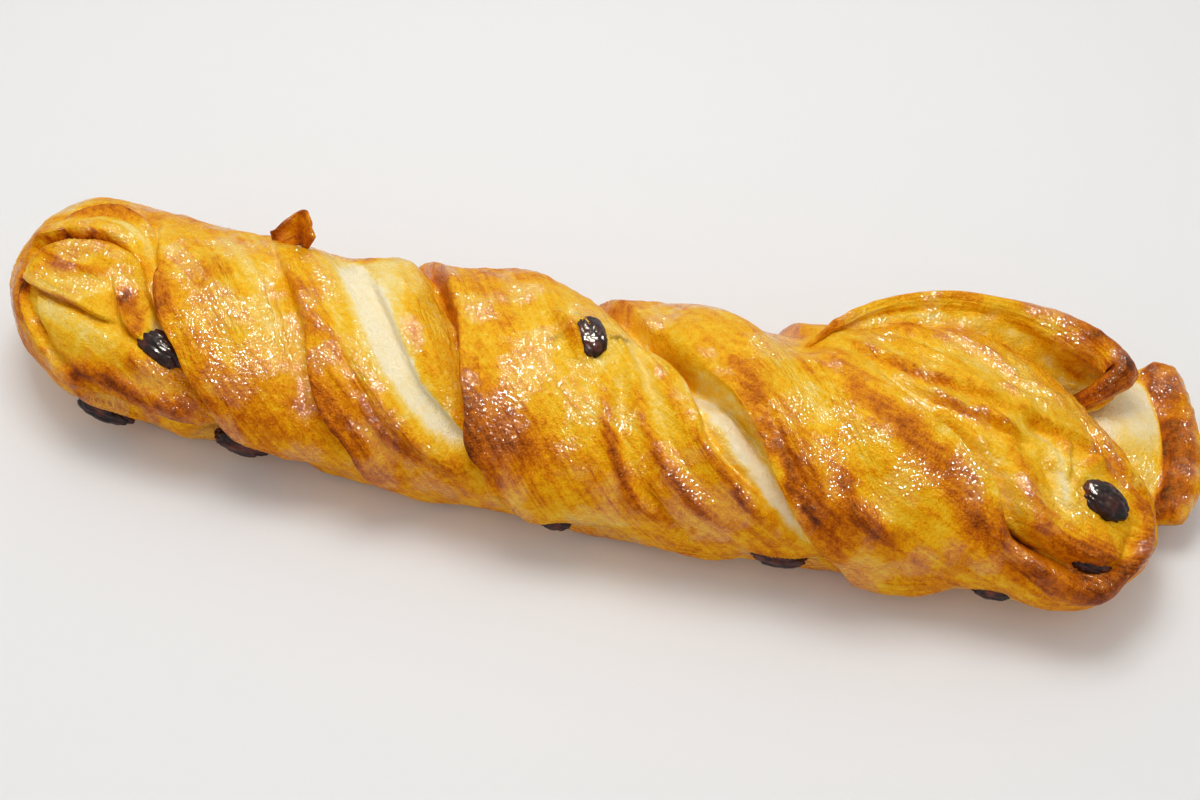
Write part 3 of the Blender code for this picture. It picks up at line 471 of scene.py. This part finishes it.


# How brown the crust is, from 0, the cream of dough that opened late in the oven, to 1, a dark edge, with
# some shade painted in. It is golden on top, darker down its front, partly browner there and partly painted
# shade, darker where it stands proud, and then as each stroke makes it, a few strokes being painted shade in
# a recess, a pocket, a slit and under lips: (amount, reach on the left, reach on the right, points).
GOLDEN_TOP, FRONT_DARKER, FOOT_PALER, PROUD_DARKER = 0.38, 0.15, 0.03, 0.028
BROWNING_AND_SHADE = (
    # The shut end.
    (0.16, 4.0, 4.0,
     ((-105, 52, 0), (-116, 58), (-128, 70), (-134, 88), (-137, 108), (-139, 130, 0.6), (-138, 150, 0.8),
      (-132, 172, 0.8), (-122, 185, 0.4))),
    (-0.18, 1.6, 1.0,
     ((-134, 92, 0), (-131, 86), (-126, 79), (-118, 74), (-112, 77), (-107, 86, 0.8), (-103, 98, 0.5))),
    # Painted shade: the recess under the rim, above the curl, painted dark brown.
    (0.62, 0.9, 2.6,
     ((-134, 98, 0), (-131, 94), (-128, 90), (-124, 87), (-119, 84.5), (-115, 84.5), (-111, 88, 0))),
    (0.22, 1.4, 1.4, ((-134, 110, 0), (-130, 108), (-125, 110), (-120, 108), (-115, 106), (-111, 110, 0))),
    # Painted shade: the plate's edge where the curl overhangs it, painted orange brown.
    (0.26, 1.2, 1.6,
     ((-136, 121, 0), (-131, 126), (-124, 127), (-116, 128), (-110, 129, 0.6), (-106, 130, 0))),
    (-0.16, 2.0, 4.0, ((-133, 134, 0), (-126, 134), (-116, 135), (-108, 138), (-102, 142, 0))),
    (0.28, 1.4, 1.4, ((-109, 106, 0), (-107, 114), (-104, 122), (-102, 129), (-101, 133, 0))),
    (0.42, 1.1, 1.1, ((-137, 122, 0), (-136, 128), (-135, 140), (-133, 152, 0.3), (-130, 158, 0))),
    (-0.12, 10.0, 10.0, ((-124, 138), (-112, 140), (-104, 146, 0.5))),
    (0.20, 2.2, 2.2,
     ((-121, 165, 0), (-116, 167), (-110, 163), (-103, 165), (-96, 169, 0.8), (-88, 174, 0.4),
      (-80, 180, 0))),
    (-0.15, 4.0, 4.0, ((-102, 156, 0), (-94, 158), (-88, 164, 0))),
    (-0.45, 1.6, 1.6, ((-101, 123, 0), (-98, 127), (-95, 130), (-93, 134, 0))),
    (0.26, 1.2, 1.2, ((-109, 108, 0), (-107, 113), (-105, 118, 0))),
    # The first lap and the roll.
    (0.26, 2.0, 0.5,
     ((-106, 82, 0), (-102, 98, 0.6), (-101, 105), (-97, 120), (-93, 134, 0.8), (-90, 142, 0.5),
      (-86, 153, 0.2))),
    (0.09, 8.0, 8.0, ((-98, 100, 0.4), (-92, 118, 0.8), (-86, 138), (-78, 155, 0.8), (-70, 170, 0.3))),
    (-0.10, 3.0, 3.0, ((-92, 60, 0), (-82, 86), (-74, 110), (-68, 128, 0))),
    (0.20, 2.6, 1.2,
     ((-80, 64, 0.3), (-74, 80, 0.5), (-68, 98, 0.7), (-62, 120), (-58, 140, 1.3), (-53, 154, 1.2),
      (-48, 168), (-45, 184, 0.8), (-38, 205, 0.5))),
    (0.20, 1.2, 1.2,
     ((-74, 66, 0.4), (-66, 86, 0.8), (-60, 106, 0.8), (-54, 124), (-48, 138), (-42, 156), (-34, 170, 0.8),
      (-24, 182, 0))),
    (-0.10, 1.6, 1.6, ((-70, 72, 0), (-62, 94), (-56, 112), (-50, 128, 0.4), (-44, 146, 0))),
    (0.10, 3.4, 3.4, ((-52, 124, 0), (-46, 136), (-39, 150), (-31, 163), (-23, 174, 0.6), (-16, 184, 0))),
    (-0.46, 0.8, 6.5,
     ((-66, 40, 0.7), (-61, 52), (-56, 66), (-53, 75), (-50, 83), (-46, 95), (-42, 106), (-39, 115),
      (-36, 123), (-32, 130), (-29, 136), (-25, 145), (-22, 151, 0.5))),
    (-0.28, 3.0, 3.4,
     ((-66, 48, 0), (-62, 60, 0.6), (-59, 73), (-55, 86), (-48, 106), (-42, 121), (-35, 138),
      (-29, 149, 0.8), (-24, 158, 0))),
    (-0.26, 5.0, 2.0, ((-58, 44), (-54, 60), (-51, 74), (-48, 86, 0.6), (-44, 98, 0))),
    (-0.08, 7.0, 3.0, ((-50, 50), (-44, 80), (-38, 104), (-31, 126), (-26, 142, 0.6))),
    (0.12, 0.9, 0.9, ((-52, 50, 0.4), (-46, 78), (-41, 98), (-35, 116), (-28, 134, 0))),
    (0.30, 1.0, 1.8,
     ((-46, 36, 0.5), (-39, 63), (-35, 79), (-32, 90), (-29, 105, 0.7), (-27, 119, 0.5), (-25, 134, 0.4),
      (-23, 143, 0))),
    # The second lap and the folds that fan out from it.
    (0.26, 9.0, 0.6,
     ((-25, 106, 0), (-26, 118, 0.6), (-24, 131), (-22, 142), (-20, 154, 0.9), (-17, 166, 0.4),
      (-12, 178, 0))),
    (0.14, 7.0, 7.0, ((-18, 128, 0.6), (-12, 144), (-6, 156, 0.6))),
    (0.10, 6.0, 6.0, ((-36, 40, 0.6), (-26, 70, 0.6), (-20, 88, 0))),
    (-0.12, 8.0, 8.0, ((-14, 70, 0.6), (-2, 88), (4, 104, 0.6))),
    (-0.10, 9.0, 9.0, ((-8, 176), (4, 186))),
    (0.20, 1.1, 1.1,
     ((4, 108, 0), (5, 122, 0.4), (7, 134), (10, 147), (13, 160), (17, 170, 0.8), (24, 184, 0))),
    (0.18, 1.2, 1.2, ((8, 102, 0), (12, 118, 0.7), (16, 132), (22, 148), (28, 162), (36, 176, 0.4))),
    (0.14, 1.0, 1.0, ((12, 94, 0.2), (18, 110, 0.6), (24, 124, 0.7), (30, 138), (37, 154), (42, 165, 0))),
    (-0.14, 3.5, 3.5, ((2, 66), (7, 84), (11, 100), (16, 118, 0.6), (22, 134, 0.4))),
    (-0.56, 3.0, 3.0,
     ((19, 88, 0), (22, 98), (27, 109), (31, 119), (35, 130), (39, 140), (43, 150, 0.6), (46, 158, 0))),
    (-0.56, 2.2, 2.0, ((39, 140, 0), (43, 152), (47, 164), (51, 176, 0.5), (53, 184, 0))),
    # Painted shade: the deep pocket at the top of the second opening, painted ochre.
    (0.10, 3.5, 3.5, ((12, 76, 0), (17, 84), (21, 92), (25, 100, 0.6))),
    (0.24, 2.4, 0.8,
     ((25, 88, 0), (33, 104, 0.2), (38, 114, 0.4), (42.5, 126, 0.8), (46.5, 140), (51, 153), (55, 165),
      (59, 178, 0.6))),
    (0.16, 2.0, 2.0,
     ((24, 82, 0.2), (32, 97, 0.8), (37, 109), (42, 122), (47, 134), (53, 150, 0.8), (60, 166, 0.4))),
    (-0.14, 2.0, 2.0, ((34, 68, 0.6), (42, 86), (48, 104), (54, 124, 0.8), (58, 136, 0))),
    (0.18, 2.0, 2.0, ((50, 112, 0), (54, 128), (58, 144), (62, 155), (68, 164, 0.5))),
    (-0.12, 5.0, 5.0, ((62, 138, 0), (68, 148), (76, 158), (80, 164, 0.4))),
    (0.24, 4.5, 2.6,
     ((44, 66, 0.3), (50, 82, 0.6), (57, 98, 0.9), (66, 112), (74, 124, 1.2), (80, 134, 1.2), (86, 146),
      (92, 158, 0.7), (98, 168, 0.4))),
    # The fan, and the loop round its raisin.
    (-0.10, 2.0, 5.0,
     ((110, 164, 0), (97, 154, 0.4), (90, 143, 0.8), (86, 126), (78, 112), (66, 96), (56, 79),
      (48, 62, 0.6))),
    (-0.08, 9.0, 9.0, ((60, 58, 0.6), (74, 70), (88, 78), (95, 92), (90, 120, 0.5))),
    (0.26, 1.4, 1.0,
     ((49, 61, 0.3), (55, 66, 0.8), (61, 72), (68, 77), (75, 80), (82, 83, 0.6), (89, 86, 0))),
    (0.26, 1.4, 1.0, ((69, 88, 0.3), (75, 91), (81, 93, 0.8), (87, 95, 0.4), (93, 95, 0))),
    # Painted shade: this stroke and the next paint the walls under the upper lips of the fan's two hollows.
    (0.12, 1.4, 0.8, ((86, 80, 0), (90, 81), (95, 80), (101, 76, 0.8), (106, 72, 0.6), (109, 68, 0))),
    (0.12, 1.4, 0.8, ((105, 56, 0), (108, 60), (112, 62), (117, 58), (120, 50, 0.4))),
    (-0.20, 2.2, 2.2, ((92, 88, 0), (96, 90), (100, 93), (105, 94), (109, 92, 0))),
    (-0.18, 2.2, 2.2, ((107, 66, 0), (111, 70), (115, 70), (120, 62, 0))),
    # Painted shade: the slit where the last lap meets the fan, painted dark brown.
    (0.50, 0.9, 0.9, ((87, 133, 0), (90, 141, 0.8), (93, 146), (97, 149), (101, 152, 0))),
    (0.10, 1.6, 1.6, ((91, 110, 0.3), (94, 120, 0.8), (97, 131), (101, 138), (107, 139), (112, 134, 0.8))),
    (0.12, 1.2, 1.6, ((88, 88, 0), (94, 82), (102, 79), (108, 74, 0.6))),
    (-0.26, 1.6, 1.6, ((95, 92, 0), (99, 98), (101, 110), (103, 120, 0.6))),
    (0.16, 2.2, 2.2,
     ((105, 92, 0), (107, 82, 0.7), (112, 75), (118, 82), (120, 100), (120, 124), (117, 150), (112, 165),
      (105, 167, 0.6))),
    (0.12, 1.8, 1.8, ((105, 152, 0), (109, 154), (114, 148, 0))),
)


def bake_and_shade_at(angle, places, proud):
    """How brown the twist is at each place, with painted shade down its front and in a few hollows."""
    from_top = np.abs(np.mod(angle + 90, 360) - 180)
    # The front is made darker partly as painted shade down the flank.
    bake_and_shade = GOLDEN_TOP + FRONT_DARKER * smooth_step(from_top, 30, 65)
    bake_and_shade -= FOOT_PALER * smooth_step(from_top, 75, 95)
    bake_and_shade += PROUD_DARKER * np.where(proud > 0, proud, 0.25 * proud)
    ragged = lumps(places, (0.8, 4.0), (0.5, 1.4))
    for amount, left_reach, right_reach, points in BROWNING_AND_SHADE:
        distance, strength, _, _ = stroke(places, points, RIDGE_FADE * max(left_reach, right_reach))
        distance = distance + ragged
        bake_and_shade += amount * strength * mound(distance, np.where(distance > 0, left_reach, right_reach))
    return np.clip(bake_and_shade, 0, 1)


# How many rings and strands the dough has, how many degrees a millimetre its strands turn round it, how close
# they crowd where most of the folds are, and how long its wrinkles are and how many lie across it.
RINGS, STRANDS = 500, 172
TWIST_RATE = (
    (-146, 0.0), (-120, 0.0), (-100, 2.7), (-50, 3.0), (-32, 4.0), (4, 4.0), (20, 2.6), (48, 2.3), (68, 1.6),
    (125, 1.0),
)
CROWDING, CROWDED_ANGLE = 0.55, 112.0
WRINKLE_LENGTH, WRINKLES_ACROSS = 24, 12


def ring_stations(count):
    """Ring stations from tip to tip, evenly spaced along the outline."""
    x = np.linspace(LEFT_TIP, RIGHT_TIP, 4001)
    outline = station_value(x, HALF_WIDTH) * end_rounding(x)
    run = np.concatenate([[0], np.cumsum(np.hypot(np.diff(x), np.diff(outline)))])
    return np.interp(np.linspace(0, run[-1], count), run, x)


def strand_turn(x):
    """How far the strands have turned round the twist at x."""
    stations = np.linspace(LEFT_TIP, RIGHT_TIP, 400)
    turned = np.cumsum(station_value(stations, TWIST_RATE)) * (stations[1] - stations[0])
    return np.interp(x, stations, turned)


def twist(share, turn):
    x = ring_stations(RINGS + 1)[np.rint(share * RINGS).astype(int)]
    angle = turn + strand_turn(x)
    angle -= np.degrees(CROWDING * np.sin(np.radians(angle - CROWDED_ANGLE)))
    angle = np.mod(angle, 360)
    around = np.radians(turn)
    across = WRINKLES_ACROSS * np.array([np.cos(around), np.sin(around)])
    strand = np.stack([x / WRINKLE_LENGTH, *across], axis=-1)
    points, proud, layer, layered = folded(x, angle, strand)
    return points, bake_and_shade_at(angle, skin(x, angle), proud), strand, layer, layered


dough = drawn_ball("dough_crust", STRANDS, RINGS, twist)

# The ear: a wall of dough round the back of the fan, with a rolled and browned rim, which hooks round at its
# right end to make a hood. It is a sheet between the line of its foot and the line of its rim.
EAR = (
    (38, 12, 30, 43, 19, 35), (44, 17, 29, 48, 27, 37), (53, 22, 28, 54, 34, 36.5),
    (62, 26, 27, 62, 39.5, 36), (71, 28, 25, 71, 43.5, 35), (80, 31, 22, 80, 45.5, 33.5),
    (89, 35, 17, 89, 46.5, 32), (97, 38, 13, 97.5, 46, 30.5), (104, 39.5, 12, 104.5, 43, 29.5),
    (108, 37, 15, 109.5, 38, 28), (106, 33.5, 16, 106.5, 34.5, 24.5), (101, 31.5, 12, 101, 33.5, 18),
    (94, 30, 9, 94, 32, 13),
)
EAR_MIDDLE, EAR_BULGE = (84, 16, 0), 1.5
EAR_THICKNESS, ROLL_THICKER, HOOD_THICKER, LINE_DEPTH = 3.0, 0.8, 4.4, 0.9
ear_edges = smooth_line(EAR, 12)


def between_edges(edges, along, across):
    """Places on a sheet, at shares along its two edges and across from the first, and on that first edge."""
    station = along * (len(edges) - 1)
    values = np.stack([np.interp(station, range(len(edges)), column) for column in edges.T], axis=-1)
    first, second = values[:, :3], values[:, 3:]
    return first + (second - first) * across[:, None], first


def sheet(share, turn, middle, thickness):
    """Places on a sheet of dough drawn from a ball, how far across it and on which side they are, and which
    way is out there. middle gives its middle at shares along and across it, and thickness how thick it is."""
    around = np.radians(turn)
    at_pole = (share < 1e-6) | (share > 1 - 1e-6)
    across = np.where(at_pole, 0, np.cos(around))
    across = 0.5 - 0.5 * np.sign(across) * np.abs(across) ** 0.7
    side = np.sign(np.sin(around)) * np.abs(np.sin(around)) ** 0.6
    side = np.where(at_pole, 0, side) * np.clip(np.sin(math.pi * share), 0, 1) ** 0.25
    step = 0.004
    along = middle(np.clip(share + step, 0, 1), across) - middle(np.clip(share - step, 0, 1), across)
    over = middle(share, across + step) - middle(share, across - step)
    normal = unit(np.cross(along, over))
    points = middle(share, across) + normal * (side * thickness(share, across) / 2)[:, None]
    return points, across, side, normal


def ear(share, turn):
    def middle(along, across):
        place, foot = between_edges(ear_edges, along, across)
        outward = unit((foot - EAR_MIDDLE) * (1, 1, 0))
        return place + outward * (EAR_BULGE * np.sin(math.pi * across))[:, None]

    def thickness(along, across):
        hood = smooth_step(along, 0.42, 0.56)
        roll = mound(across - 0.90 + 0.16 * hood, 0.11 + 0.17 * hood) * smooth_step(along, 0.0, 0.2)
        thicker = ROLL_THICKER + HOOD_THICKER * hood - 2.0 * smooth_step(along, 0.74, 0.84)
        return EAR_THICKNESS + roll * thicker - LINE_DEPTH * mound(across - 0.72 + 0.42 * hood, 0.06)

    points, across, side, normal = sheet(share, turn, middle, thickness)
    strand = np.stack([share * 4, 6 * across, side], axis=-1)
    rough = lumps(points, (0.5, 6.0), (0.4, 2.5)) + lumps(strand, (0.3, 0.4))
    points = points + normal * (rough * np.sign(side))[:, None]
    rim = mound(across - 1.0, 0.20)
    hood = smooth_step(share, 0.45, 0.62)
    # Brown on its rim, on the hood's roll and in the line under it, with painted shade on the hood below
    # its roll, and paler at the hood's foot.
    bake_and_shade = 0.30 + 0.20 * rim + 0.18 * hood * smooth_step(across, 0.45, 0.65) + lumps(points, (0.22, 7.0))
    bake_and_shade += 0.16 * mound(across - 0.72 + 0.42 * hood, 0.06) + 0.10 * rough
    bake_and_shade -= 0.12 * hood * (1 - smooth_step(across, 0.10, 0.3))
    bake_and_shade += 0.14 * mound(share - 0.76, 0.040) * rim + 0.08 * smooth_step(share, 0.70, 0.80)
    layer = np.stack([across * 18, share * 12, side], axis=-1)
    return points, np.clip(bake_and_shade, 0, 0.84), strand, layer, 0.6 * smooth_step(across, 0.5, 0.8)


ear_piece = drawn_ball("ear_crust", 96, 260, ear)

# The flap under the fan: a pale plate of dough, folded out and baked on the tray, with a thick, rough hem
# turned up along its outer end. It is a sheet between its inner and its outer edge, which swells at the hem.
FLAP = (
    (98, 38, 9, 117, 52.5, 11.5), (100, 33, 9.5, 123.5, 51.5, 12.5), (101, 28, 10, 127.5, 44, 11.5),
    (102, 22, 10, 130, 36, 10.5), (102, 16, 9, 132, 27, 10), (102, 11, 7, 131.5, 19, 9),
    (102, 7, 6, 129, 12, 7.5),
)
FLAP_THICKNESS, FLAP_FOOT, FLAP_CROWN = 5.5, 2.4, 3.0
HEM_PLACE, HEM_RISE, HEM_THICKER = 0.86, 2.2, 1.8
flap_edges = smooth_line(FLAP, 10)


def flap(share, turn):
    def middle(along, across):
        place, _ = between_edges(flap_edges, along, across)
        place[:, 2] += HEM_RISE * mound(across - HEM_PLACE, 0.10) * smooth_step(along, 0.0, 0.15)
        place[:, 2] += FLAP_CROWN * mound(along - 0.45, 0.22) * (1 - smooth_step(across, 0.4, 0.75))
        return place

    def thickness(along, across):
        return FLAP_THICKNESS + HEM_THICKER * mound(across - HEM_PLACE, 0.12)

    points, across, side, normal = sheet(share, turn, middle, thickness)
    top = smooth_step(side, -0.3, 0.4)
    hem = smooth_step(across, 0.66, 0.74) * smooth_step(share, 0.02, 0.12)
    strand = np.stack([share * 5, 7 * across, side], axis=-1)
    rough = lumps(points, (0.4, 6.0), (0.3 + 0.5 * hem, 3.0), (0.25 * hem, 1.2))
    points = points + normal * (rough * np.sign(side))[:, None]
    points[:, 2] = np.maximum(points[:, 2], FLAP_FOOT)
    # Nearly raw at the back, browner in front, and brown on the hem and underneath.
    bake_and_shade = 0.02 + 0.28 * smooth_step(share, 0.35, 0.7) + lumps(points, (0.06, 5.0))
    hem_bake = 0.70 - 0.26 * smooth_step(across, 0.82, 0.93) - 0.22 * smooth_step(share, 0.4, 0.8)
    bake_and_shade += hem * hem_bake * top
    bake_and_shade += 0.3 * (1 - top) + 0.16 * rough * hem
    layer = np.stack([across * 20, share * 6, side], axis=-1)
    return points, np.clip(bake_and_shade, 0, 0.86), strand, layer, 0.15 * hem


flap_piece = drawn_ball("flap_crust", 120, 130, flap)

# The scrap: a thin chip of dough that came loose on the first lap's back and crisped where it stands up. It
# is a small sheet between its foot and its rim, curled along its length and brown all over.
SCRAP = (
    (-83.5, 20, 32, -84.5, 22, 34.5), (-80, 21, 32, -81, 23.5, 37.5), (-77, 21, 32.5, -75.5, 23, 40.8),
    (-74.5, 20, 33, -71.8, 20.5, 38),
)
SCRAP_THICKNESS, SCRAP_CURL, SCRAP_BAKE = 1.6, 1.6, 0.66
scrap_edges = smooth_line(SCRAP, 8)


def scrap(share, turn):
    def middle(along, across):
        place, _ = between_edges(scrap_edges, along, across)
        place[:, 1] -= SCRAP_CURL * np.sin(2.6 * math.pi * along) * across
        return place

    points, across, side, normal = sheet(share, turn, middle, lambda along, over: SCRAP_THICKNESS + 0 * over)
    strand = np.stack([share * 2, 3 * across, side], axis=-1)
    points = points + normal * (lumps(points, (0.5, 2.0)) * np.sign(side))[:, None]
    return points, SCRAP_BAKE + lumps(points, (0.2, 3.0)), strand, 3 * strand, 0.4 + 0 * share


scrap_piece = drawn_ball("scrap_crust", 40, 40, scrap)

# The crust's finish: laminated dough brushed with egg wash, which the oven blistered finely and mottled along
# the strands. The wash is glossy on golden dough, patchy, and matt on cream dough and on the darkest edges.
CRUST_COLOURS = (
    (0.00, (0.90, 0.80, 0.56)), (0.14, (0.88, 0.66, 0.20)), (0.30, (0.86, 0.50, 0.020)),
    (0.44, (0.82, 0.37, 0.003)), (0.56, (0.70, 0.23, 0.001)), (0.70, (0.50, 0.11, 0.001)),
    (0.86, (0.24, 0.040, 0.002)), (1.00, (0.07, 0.014, 0.004)),
)
CREAM_BAKE, GOLDEN_BAKE, DARK_BAKE, BURNT_BAKE = 0.10, 0.42, 0.60, 0.85
BLISTER_DEPTH = 0.0006


def feed(tree, socket, value):
    """Sets an input to a value, or links it to an output."""
    if isinstance(value, bpy.types.NodeSocket):
        tree.links.new(value, socket)
    else:
        socket.default_value = value


def add_node(tree, kind, **inputs):
    """A shader node, with its inputs set to values or linked to the outputs given."""
    made = tree.nodes.new(kind)
    for name, value in inputs.items():
        feed(tree, made.inputs[name.replace("_", " ")], value)
    return made


def calculate(tree, operation, *values):
    made = tree.nodes.new("ShaderNodeMath")
    made.operation = operation
    for socket, value in zip(made.inputs, values):
        feed(tree, socket, value)
    return made.outputs[0]


def painted(tree, attribute):
    """What a mesh holds at each of its points."""
    made = add_node(tree, "ShaderNodeAttribute")
    made.attribute_name = attribute
    return made.outputs


def colour_ramp(tree, share, colours):
    made = add_node(tree, "ShaderNodeValToRGB", Fac=share)
    stops = made.color_ramp.elements
    for index, (place, colour) in enumerate(colours):
        stop = stops[index] if index < 2 else stops.new(place)
        stop.position = place
        stop.color = (*colour, 1)
    return made.outputs["Color"]


def noise_at(tree, vector, scale, detail=3.0):
    return add_node(tree, "ShaderNodeTexNoise", Vector=vector, Scale=scale, Detail=detail).outputs["Fac"]


def swing(tree, pattern, amount):
    """A pattern about its mean of one half, times an amount."""
    return calculate(tree, "MULTIPLY", calculate(tree, "SUBTRACT", pattern, 0.5), amount)


def part_of(tree, value, low, high):
    """From 0 where the value is low, to 1 where it is high."""
    return add_node(tree, "ShaderNodeMapRange", Value=value, From_Min=low, From_Max=high).outputs["Result"]


crust = bpy.data.materials.new("glazed_crust")
crust.use_nodes = True
tree = crust.node_tree
shader = tree.nodes["Principled BSDF"]
# How brown each point is, painted shade included in places, sets the crust's colour below.
bake_and_shade = painted(tree, "bake_and_shade")["Fac"]
object_place = add_node(tree, "ShaderNodeTexCoord").outputs["Object"]
leaves = swing(tree, noise_at(tree, painted(tree, "layer")["Vector"], 1.0), painted(tree, "layered")["Fac"])
streaks = noise_at(tree, painted(tree, "strand")["Vector"], 1.3)
blotches = noise_at(tree, object_place, 170)
specks = noise_at(tree, object_place, 700)
blisters = noise_at(tree, object_place, 2200)
mottle = swing(tree, streaks, 1.1)
for pattern, amount in ((blotches, 1.5), (specks, 1.1), (blisters, 1.1)):
    mottle = calculate(tree, "ADD", mottle, swing(tree, pattern, amount))
mottle = calculate(tree, "MULTIPLY_ADD", leaves, 1.3, mottle)
baked = part_of(tree, bake_and_shade, CREAM_BAKE, GOLDEN_BAKE)
spread = calculate(tree, "MULTIPLY", mottle, calculate(tree, "MULTIPLY_ADD", baked, 0.20, 0.14))
tone = calculate(tree, "ADD", bake_and_shade, spread)
tree.links.new(colour_ramp(tree, tone, CRUST_COLOURS), shader.inputs["Base Color"])
glaze = part_of(tree, noise_at(tree, object_place, 100, 4.0), 0.49, 0.57)
unburnt = part_of(tree, bake_and_shade, BURNT_BAKE, DARK_BAKE)
gloss = calculate(tree, "MULTIPLY", baked, glaze)
gloss = calculate(tree, "MULTIPLY", gloss, calculate(tree, "MULTIPLY_ADD", unburnt, 0.8, 0.1))
tree.links.new(gloss, shader.inputs["Coat Weight"])
shader.inputs["Coat Roughness"].default_value = 0.11
shader.inputs["Coat IOR"].default_value = 1.5
tree.links.new(calculate(tree, "MULTIPLY_ADD", baked, -0.30, 0.72), shader.inputs["Roughness"])
shader.inputs["Specular IOR Level"].default_value = 0.1
shader.inputs["Specular Tint"].default_value = (1.0, 0.72, 0.20, 1)
relief = calculate(tree, "MULTIPLY", blisters, 0.6)
for pattern, amount in ((specks, 0.8), (streaks, 0.2), (leaves, 2.0)):
    relief = calculate(tree, "MULTIPLY_ADD", pattern, amount, relief)
bump = add_node(tree, "ShaderNodeBump", Height=relief, Strength=1.0, Distance=BLISTER_DEPTH)
tree.links.new(bump.outputs["Normal"], shader.inputs["Normal"])
wet_grain = noise_at(tree, object_place, 1450, 0.0)
wet = add_node(tree, "ShaderNodeBump", Height=wet_grain, Strength=1.0, Distance=BLISTER_DEPTH)
tree.links.new(wet.outputs["Normal"], shader.inputs["Coat Normal"])
for piece in (dough, ear_piece, flap_piece, scrap_piece):
    piece.data.materials.append(crust)
    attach(piece, "root")
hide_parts("dough")

# The raisins: dried grapes with a dark skin, glossy on its wrinkles, rolled into the dough and baked with it.
# Each is a ball of the length, width and thickness of its solid, sunk along wrinkles that run lengthwise.
RAISIN_COLOURS = ((0.32, (0.003, 0.001, 0.002)), (0.52, (0.024, 0.005, 0.005)), (0.70, (0.13, 0.028, 0.015)))
SHRUNK_SIZE, FOLD_DEPTH, CREASE_DEPTH = 0.84, 0.24, 0.14
raisin_skin = bpy.data.materials.new("raisin_skin")
raisin_skin.use_nodes = True
tree = raisin_skin.node_tree
shader = tree.nodes["Principled BSDF"]
skin_place = add_node(tree, "ShaderNodeTexCoord").outputs["Object"]
skin_colour = colour_ramp(tree, noise_at(tree, skin_place, 260), RAISIN_COLOURS)
tree.links.new(skin_colour, shader.inputs["Base Color"])
shader.inputs["Roughness"].default_value = 0.45
shader.inputs["Specular IOR Level"].default_value = 0.08
shader.inputs["Coat Weight"].default_value = 0.45
shader.inputs["Coat Roughness"].default_value = 0.12
pitted = noise_at(tree, skin_place, 1400)
pores = add_node(tree, "ShaderNodeBump", Height=pitted, Strength=0.5, Distance=0.0002)
tree.links.new(pores.outputs["Normal"], shader.inputs["Normal"])
tree.links.new(pores.outputs["Normal"], shader.inputs["Coat Normal"])


def wrinkled_raisin(node, seed):
    """A raisin in the place of its solid."""
    solid = np.array([vertex.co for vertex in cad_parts[node].data.vertices]) / MM
    centre = solid.mean(axis=0)
    axes = np.linalg.svd(solid - centre, full_matrices=False)[2]
    axes[2] = np.cross(axes[0], axes[1])
    half = np.abs((solid - centre) @ axes.T).max(axis=0)
    ball = bmesh.new()
    bmesh.ops.create_icosphere(ball, subdivisions=5, radius=1.0)
    for vertex in ball.verts:
        place = vertex.co.copy()
        folds = abs(noise.noise(Vector((place.x * 0.8, place.y * 1.9, place.z * 1.9)) + seed))
        creases = abs(noise.noise(Vector((place.x * 1.8, place.y * 4.0, place.z * 4.0)) - seed))
        size = SHRUNK_SIZE + FOLD_DEPTH * min(math.sqrt(folds), 0.6) + CREASE_DEPTH * math.sqrt(creases)
        vertex.co = Vector(centre + (np.array(place * size) * half) @ axes) * MM
    mesh = bpy.data.meshes.new(node + "_skin")
    ball.to_mesh(mesh)
    ball.free()
    mesh.shade_smooth()
    mesh.materials.append(raisin_skin)
    piece = bpy.data.objects.new(node + "_skin", mesh)
    bpy.context.scene.collection.objects.link(piece)
    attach(piece, "root")
    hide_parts(node)


for index, node in enumerate(sorted(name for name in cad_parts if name.startswith("raisin"))):
    wrinkled_raisin(node, Vector((7.3 * index, 2.1, 5.7)))

# The floor and the light: a plain pale floor, an even pale room and one soft lamp nearly overhead. Three
# small bulbs beside it only make the glints on the egg wash and on the raisins.
FLOOR_DROP = 0.0002
BULB_PLACES = ((-0.10, 0.06, 0.60), (0.10, 0.10, 0.60), (-0.02, 0.22, 0.55))
floor_mesh = bmesh.new()
bmesh.ops.create_grid(floor_mesh, x_segments=1, y_segments=1, size=3.0)
floor_data = bpy.data.meshes.new("floor")
floor_mesh.to_mesh(floor_data)
floor_mesh.free()
floor = bpy.data.objects.new("floor", floor_data)
floor.location.z = -FLOOR_DROP
bpy.context.scene.collection.objects.link(floor)
pale = bpy.data.materials.new("pale_floor")
pale.use_nodes = True
shader = pale.node_tree.nodes["Principled BSDF"]
shader.inputs["Base Color"].default_value = (0.82, 0.82, 0.82, 1)
shader.inputs["Roughness"].default_value = 0.8
shader.inputs["Specular IOR Level"].default_value = 0.0
floor_data.materials.append(pale)

room = bpy.data.worlds.new("room")
bpy.context.scene.world = room
bpy.context.scene.view_settings.view_transform = "Standard"
room.use_nodes = True
room.node_tree.nodes["Background"].inputs["Color"].default_value = (1.0, 0.99, 0.97, 1)
room.node_tree.nodes["Background"].inputs["Strength"].default_value = 0.66


def hang_lamp(name, place, size, energy):
    """A square lamp that faces the twist."""
    lamp = bpy.data.lights.new(name, "AREA")
    lamp.size = size
    lamp.energy = energy
    hung = bpy.data.objects.new(name, lamp)
    hung.location = place
    hung.rotation_euler = (hung.location - CAMERA_TARGET).to_track_quat("Z", "Y").to_euler()
    bpy.context.scene.collection.objects.link(hung)
    return hung


overhead = hang_lamp("overhead", (-0.06, 0.08, 0.55), 0.26, 1.35)
overhead.visible_glossy = False
for index, place in enumerate(BULB_PLACES):
    bulb = hang_lamp(f"bulb_{index}", place, 0.06, 7)
    bulb.data.color = (1.0, 0.94, 0.78)
    bulb.visible_diffuse = False
